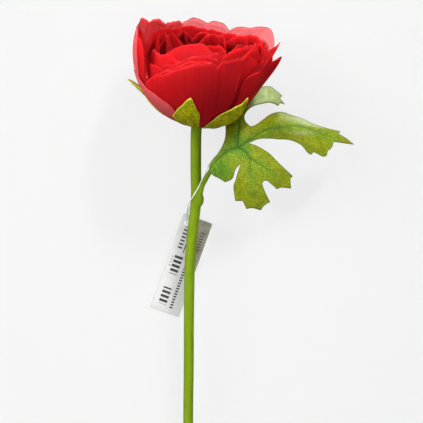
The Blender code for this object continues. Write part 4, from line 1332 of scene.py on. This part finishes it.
def add_leaf(material):
    """The cut leaf: its blade arches over its ribs, and ribs and side veins are pressed into it."""
    edge = leaf_outline()
    flat, triangles = leaf_sheet(edge)
    rib, vein, nearest = pressed_veins(flat)
    height = sheet_heights(flat, LEAF_HEIGHTS) - RIB_DEPTH * rib - VEIN_DEPTH * vein
    height = height + COCKLE * np.sin(flat[:, 0] * 0.9) * np.sin(flat[:, 1] * 0.8 + 1)
    mesh = bpy.data.meshes.new("leaf_blade")
    mesh.from_pydata((np.column_stack((flat, height)) + np.array(LEAF_HUB)) * MM, [], triangles)
    leaf = new_object("leaf_blade", mesh)
    write_points(mesh, moved(FLOWER, read_points(mesh)))
    rim, _ = line_distance(flat, edge, closed=True)
    note(mesh, "rim", rim)
    note(mesh, "vein", np.clip(0.9 * rib**2 + 0.22 * vein, 0, 1))
    note(mesh, "green", leaf_green(flat, nearest))
    # Painted sheen on the upper lobes and a ridge.
    note(mesh, "painted_sheen", leaf_painted_sheen(flat, rim))
    thicken(leaf, LEAF_CLOTH)
    return finish_piece(leaf, "leaf_blade", material, "leaf_green", "leaf")


# ---------------------------------------------------------------- tag

def cut_card():
    """The flat card: rounded corners, cuts across and along it so that it can bend, and one hole."""
    start_clean()
    bpy.ops.mesh.primitive_cube_add(size=1, location=(0, -TAG_LENGTH / 2 * MM, 0))
    card = bpy.context.object
    card.scale = (TAG_WIDTH * MM, TAG_LENGTH * MM, TAG_THICKNESS * MM)
    bpy.ops.object.transform_apply(location=True, rotation=True, scale=True)
    select_long_edges(card, 2, TAG_THICKNESS / 2 * MM)
    bpy.ops.mesh.bevel(offset=TAG_CORNER * MM, segments=5, affect="EDGES")
    cuts = [((0, -TAG_LENGTH * k / TAG_ROWS * MM, 0), (0, 1, 0)) for k in range(1, TAG_ROWS)]
    cuts += [(((k / TAG_COLUMNS - 0.5) * TAG_WIDTH * MM, 0, 0), (1, 0, 0)) for k in range(1, TAG_COLUMNS)]
    for spot, facing in cuts:
        bpy.ops.mesh.select_all(action="SELECT")
        bpy.ops.mesh.bisect(plane_co=spot, plane_no=facing)
    start_clean()
    bpy.ops.mesh.primitive_cylinder_add(
        vertices=32,
        radius=TAG_HOLE_RADIUS * MM,
        depth=4 * MM,
        location=((TAG_HOLE_FROM_SIDE - TAG_WIDTH / 2) * MM, -TAG_HOLE_FROM_TOP * MM, 0),
    )
    punch = bpy.context.object
    hole = card.modifiers.new("Hole", "BOOLEAN")
    hole.operation = "DIFFERENCE"
    hole.object = punch
    hole.solver = "EXACT"
    apply_modifiers(card)
    bpy.data.objects.remove(punch)
    return card


def add_tag(material):
    """The card, a little curled, with its far end on the surface and its hole end held up by the thread."""
    tag = cut_card()
    points = read_points(tag.data) * 1000
    across = points[:, 0]
    down = -points[:, 1]
    left = TAG_LENGTH - down
    lay_map(tag.data, "Cut", np.column_stack((across + TAG_WIDTH / 2, left)))
    note(tag.data, "rim", np.minimum(TAG_WIDTH / 2 - np.abs(across), np.minimum(down, left)))
    curl = TAG_ARCH * np.sin(math.pi * np.clip(down / TAG_LENGTH, 0, 1)) - TAG_CUP * across**2 + TAG_LIFT
    points[:, 2] += curl * smooth(left / TAG_REST)
    tilt = math.asin((TAG_TOP_HEIGHT - TAG_END_HEIGHT) / TAG_LENGTH)
    top = FLOWER @ (Vector((*TAG_TOP_MIDDLE, 0)) * MM)
    top.z = TAG_TOP_HEIGHT * MM
    turn = Matrix.Rotation(TAG_TURN, 4, "Z") @ Matrix.Rotation(tilt, 4, "X")
    write_points(tag.data, moved(Matrix.Translation(top) @ turn, points * MM))
    select_only(tag)
    bpy.ops.object.shade_smooth_by_angle(angle=math.radians(35))
    return finish_piece(tag, "swing_tag", material, "tag_card", "tag")


# ---------------------------------------------------------------- surroundings

def add_floor():
    """A pale floor that looks evenly lit from where it is seen, and gives off no light."""
    start_clean()
    bpy.ops.mesh.primitive_plane_add(size=6, location=(0, 0, -0.05 * MM))
    floor = bpy.context.object
    floor.name = "floor"
    material, tree, shader = new_material("pale_floor", Roughness=0.9, Specular_IOR_Level=0.1)
    where = place(tree, "TexCoord").outputs["Object"]
    cloud = place(tree, "TexNoise", {"Vector": where, "Scale": 3.0, "Detail": 2.0}).outputs["Fac"]
    base = tint(tree, cloud, colour(0.088, 0.088, 0.088), colour(0.092, 0.092, 0.092))
    seen = place(tree, "LightPath").outputs["Is Camera Ray"]
    shader.inputs["Emission Color"].default_value = colour(1.0, 1.0, 1.0)
    tree.links.new(base, shader.inputs["Base Color"])
    tree.links.new(times(tree, seen, FLOOR_GLOW), shader.inputs["Emission Strength"])
    floor.data.materials.append(material)


def add_lamp(name, at, aim, size, power, spread):
    """A square lamp at a place, turned to its aim; its spread is in degrees."""
    lamp = new_object(name, bpy.data.lights.new(name, "AREA"))
    lamp.data.size = size
    lamp.data.energy = power
    lamp.data.spread = math.radians(spread)
    lamp.location = at
    lamp.rotation_mode = "QUATERNION"
    lamp.rotation_quaternion = (Vector(aim) - Vector(at)).to_track_quat("-Z", "Y")


def add_lights():
    """The lamps, and a weak even light from all round."""
    for lamp in LAMPS:
        add_lamp(*lamp)
    world = bpy.data.worlds.new("World")
    world.use_nodes = True
    sky = world.node_tree.nodes["Background"]
    sky.inputs["Color"].default_value = colour(1.0, 1.0, 1.0)
    sky.inputs["Strength"].default_value = SKY_STRENGTH
    bpy.context.scene.world = world
    bpy.context.scene.view_settings.view_transform = "Standard"


# ---------------------------------------------------------------- making

def build():
    """Makes every piece, among them the thread that hangs with the tag and its knot."""
    add_camera()
    nylon = thread_material()
    thread, route, length = add_thread(nylon)
    knot = add_knot(route[0], nylon)
    tag = add_tag(tag_material())
    cloth = petal_material()
    for number, petal in enumerate(outer_petals() + inner_petals()):
        add_petal(f"petal_{number + 1:02d}", petal, number, cloth)
    add_core(cloth)
    add_calyx(sepal_material())
    add_stem(stem_material())
    add_leaf(leaf_material())
    add_floor()
    add_lights()


build()
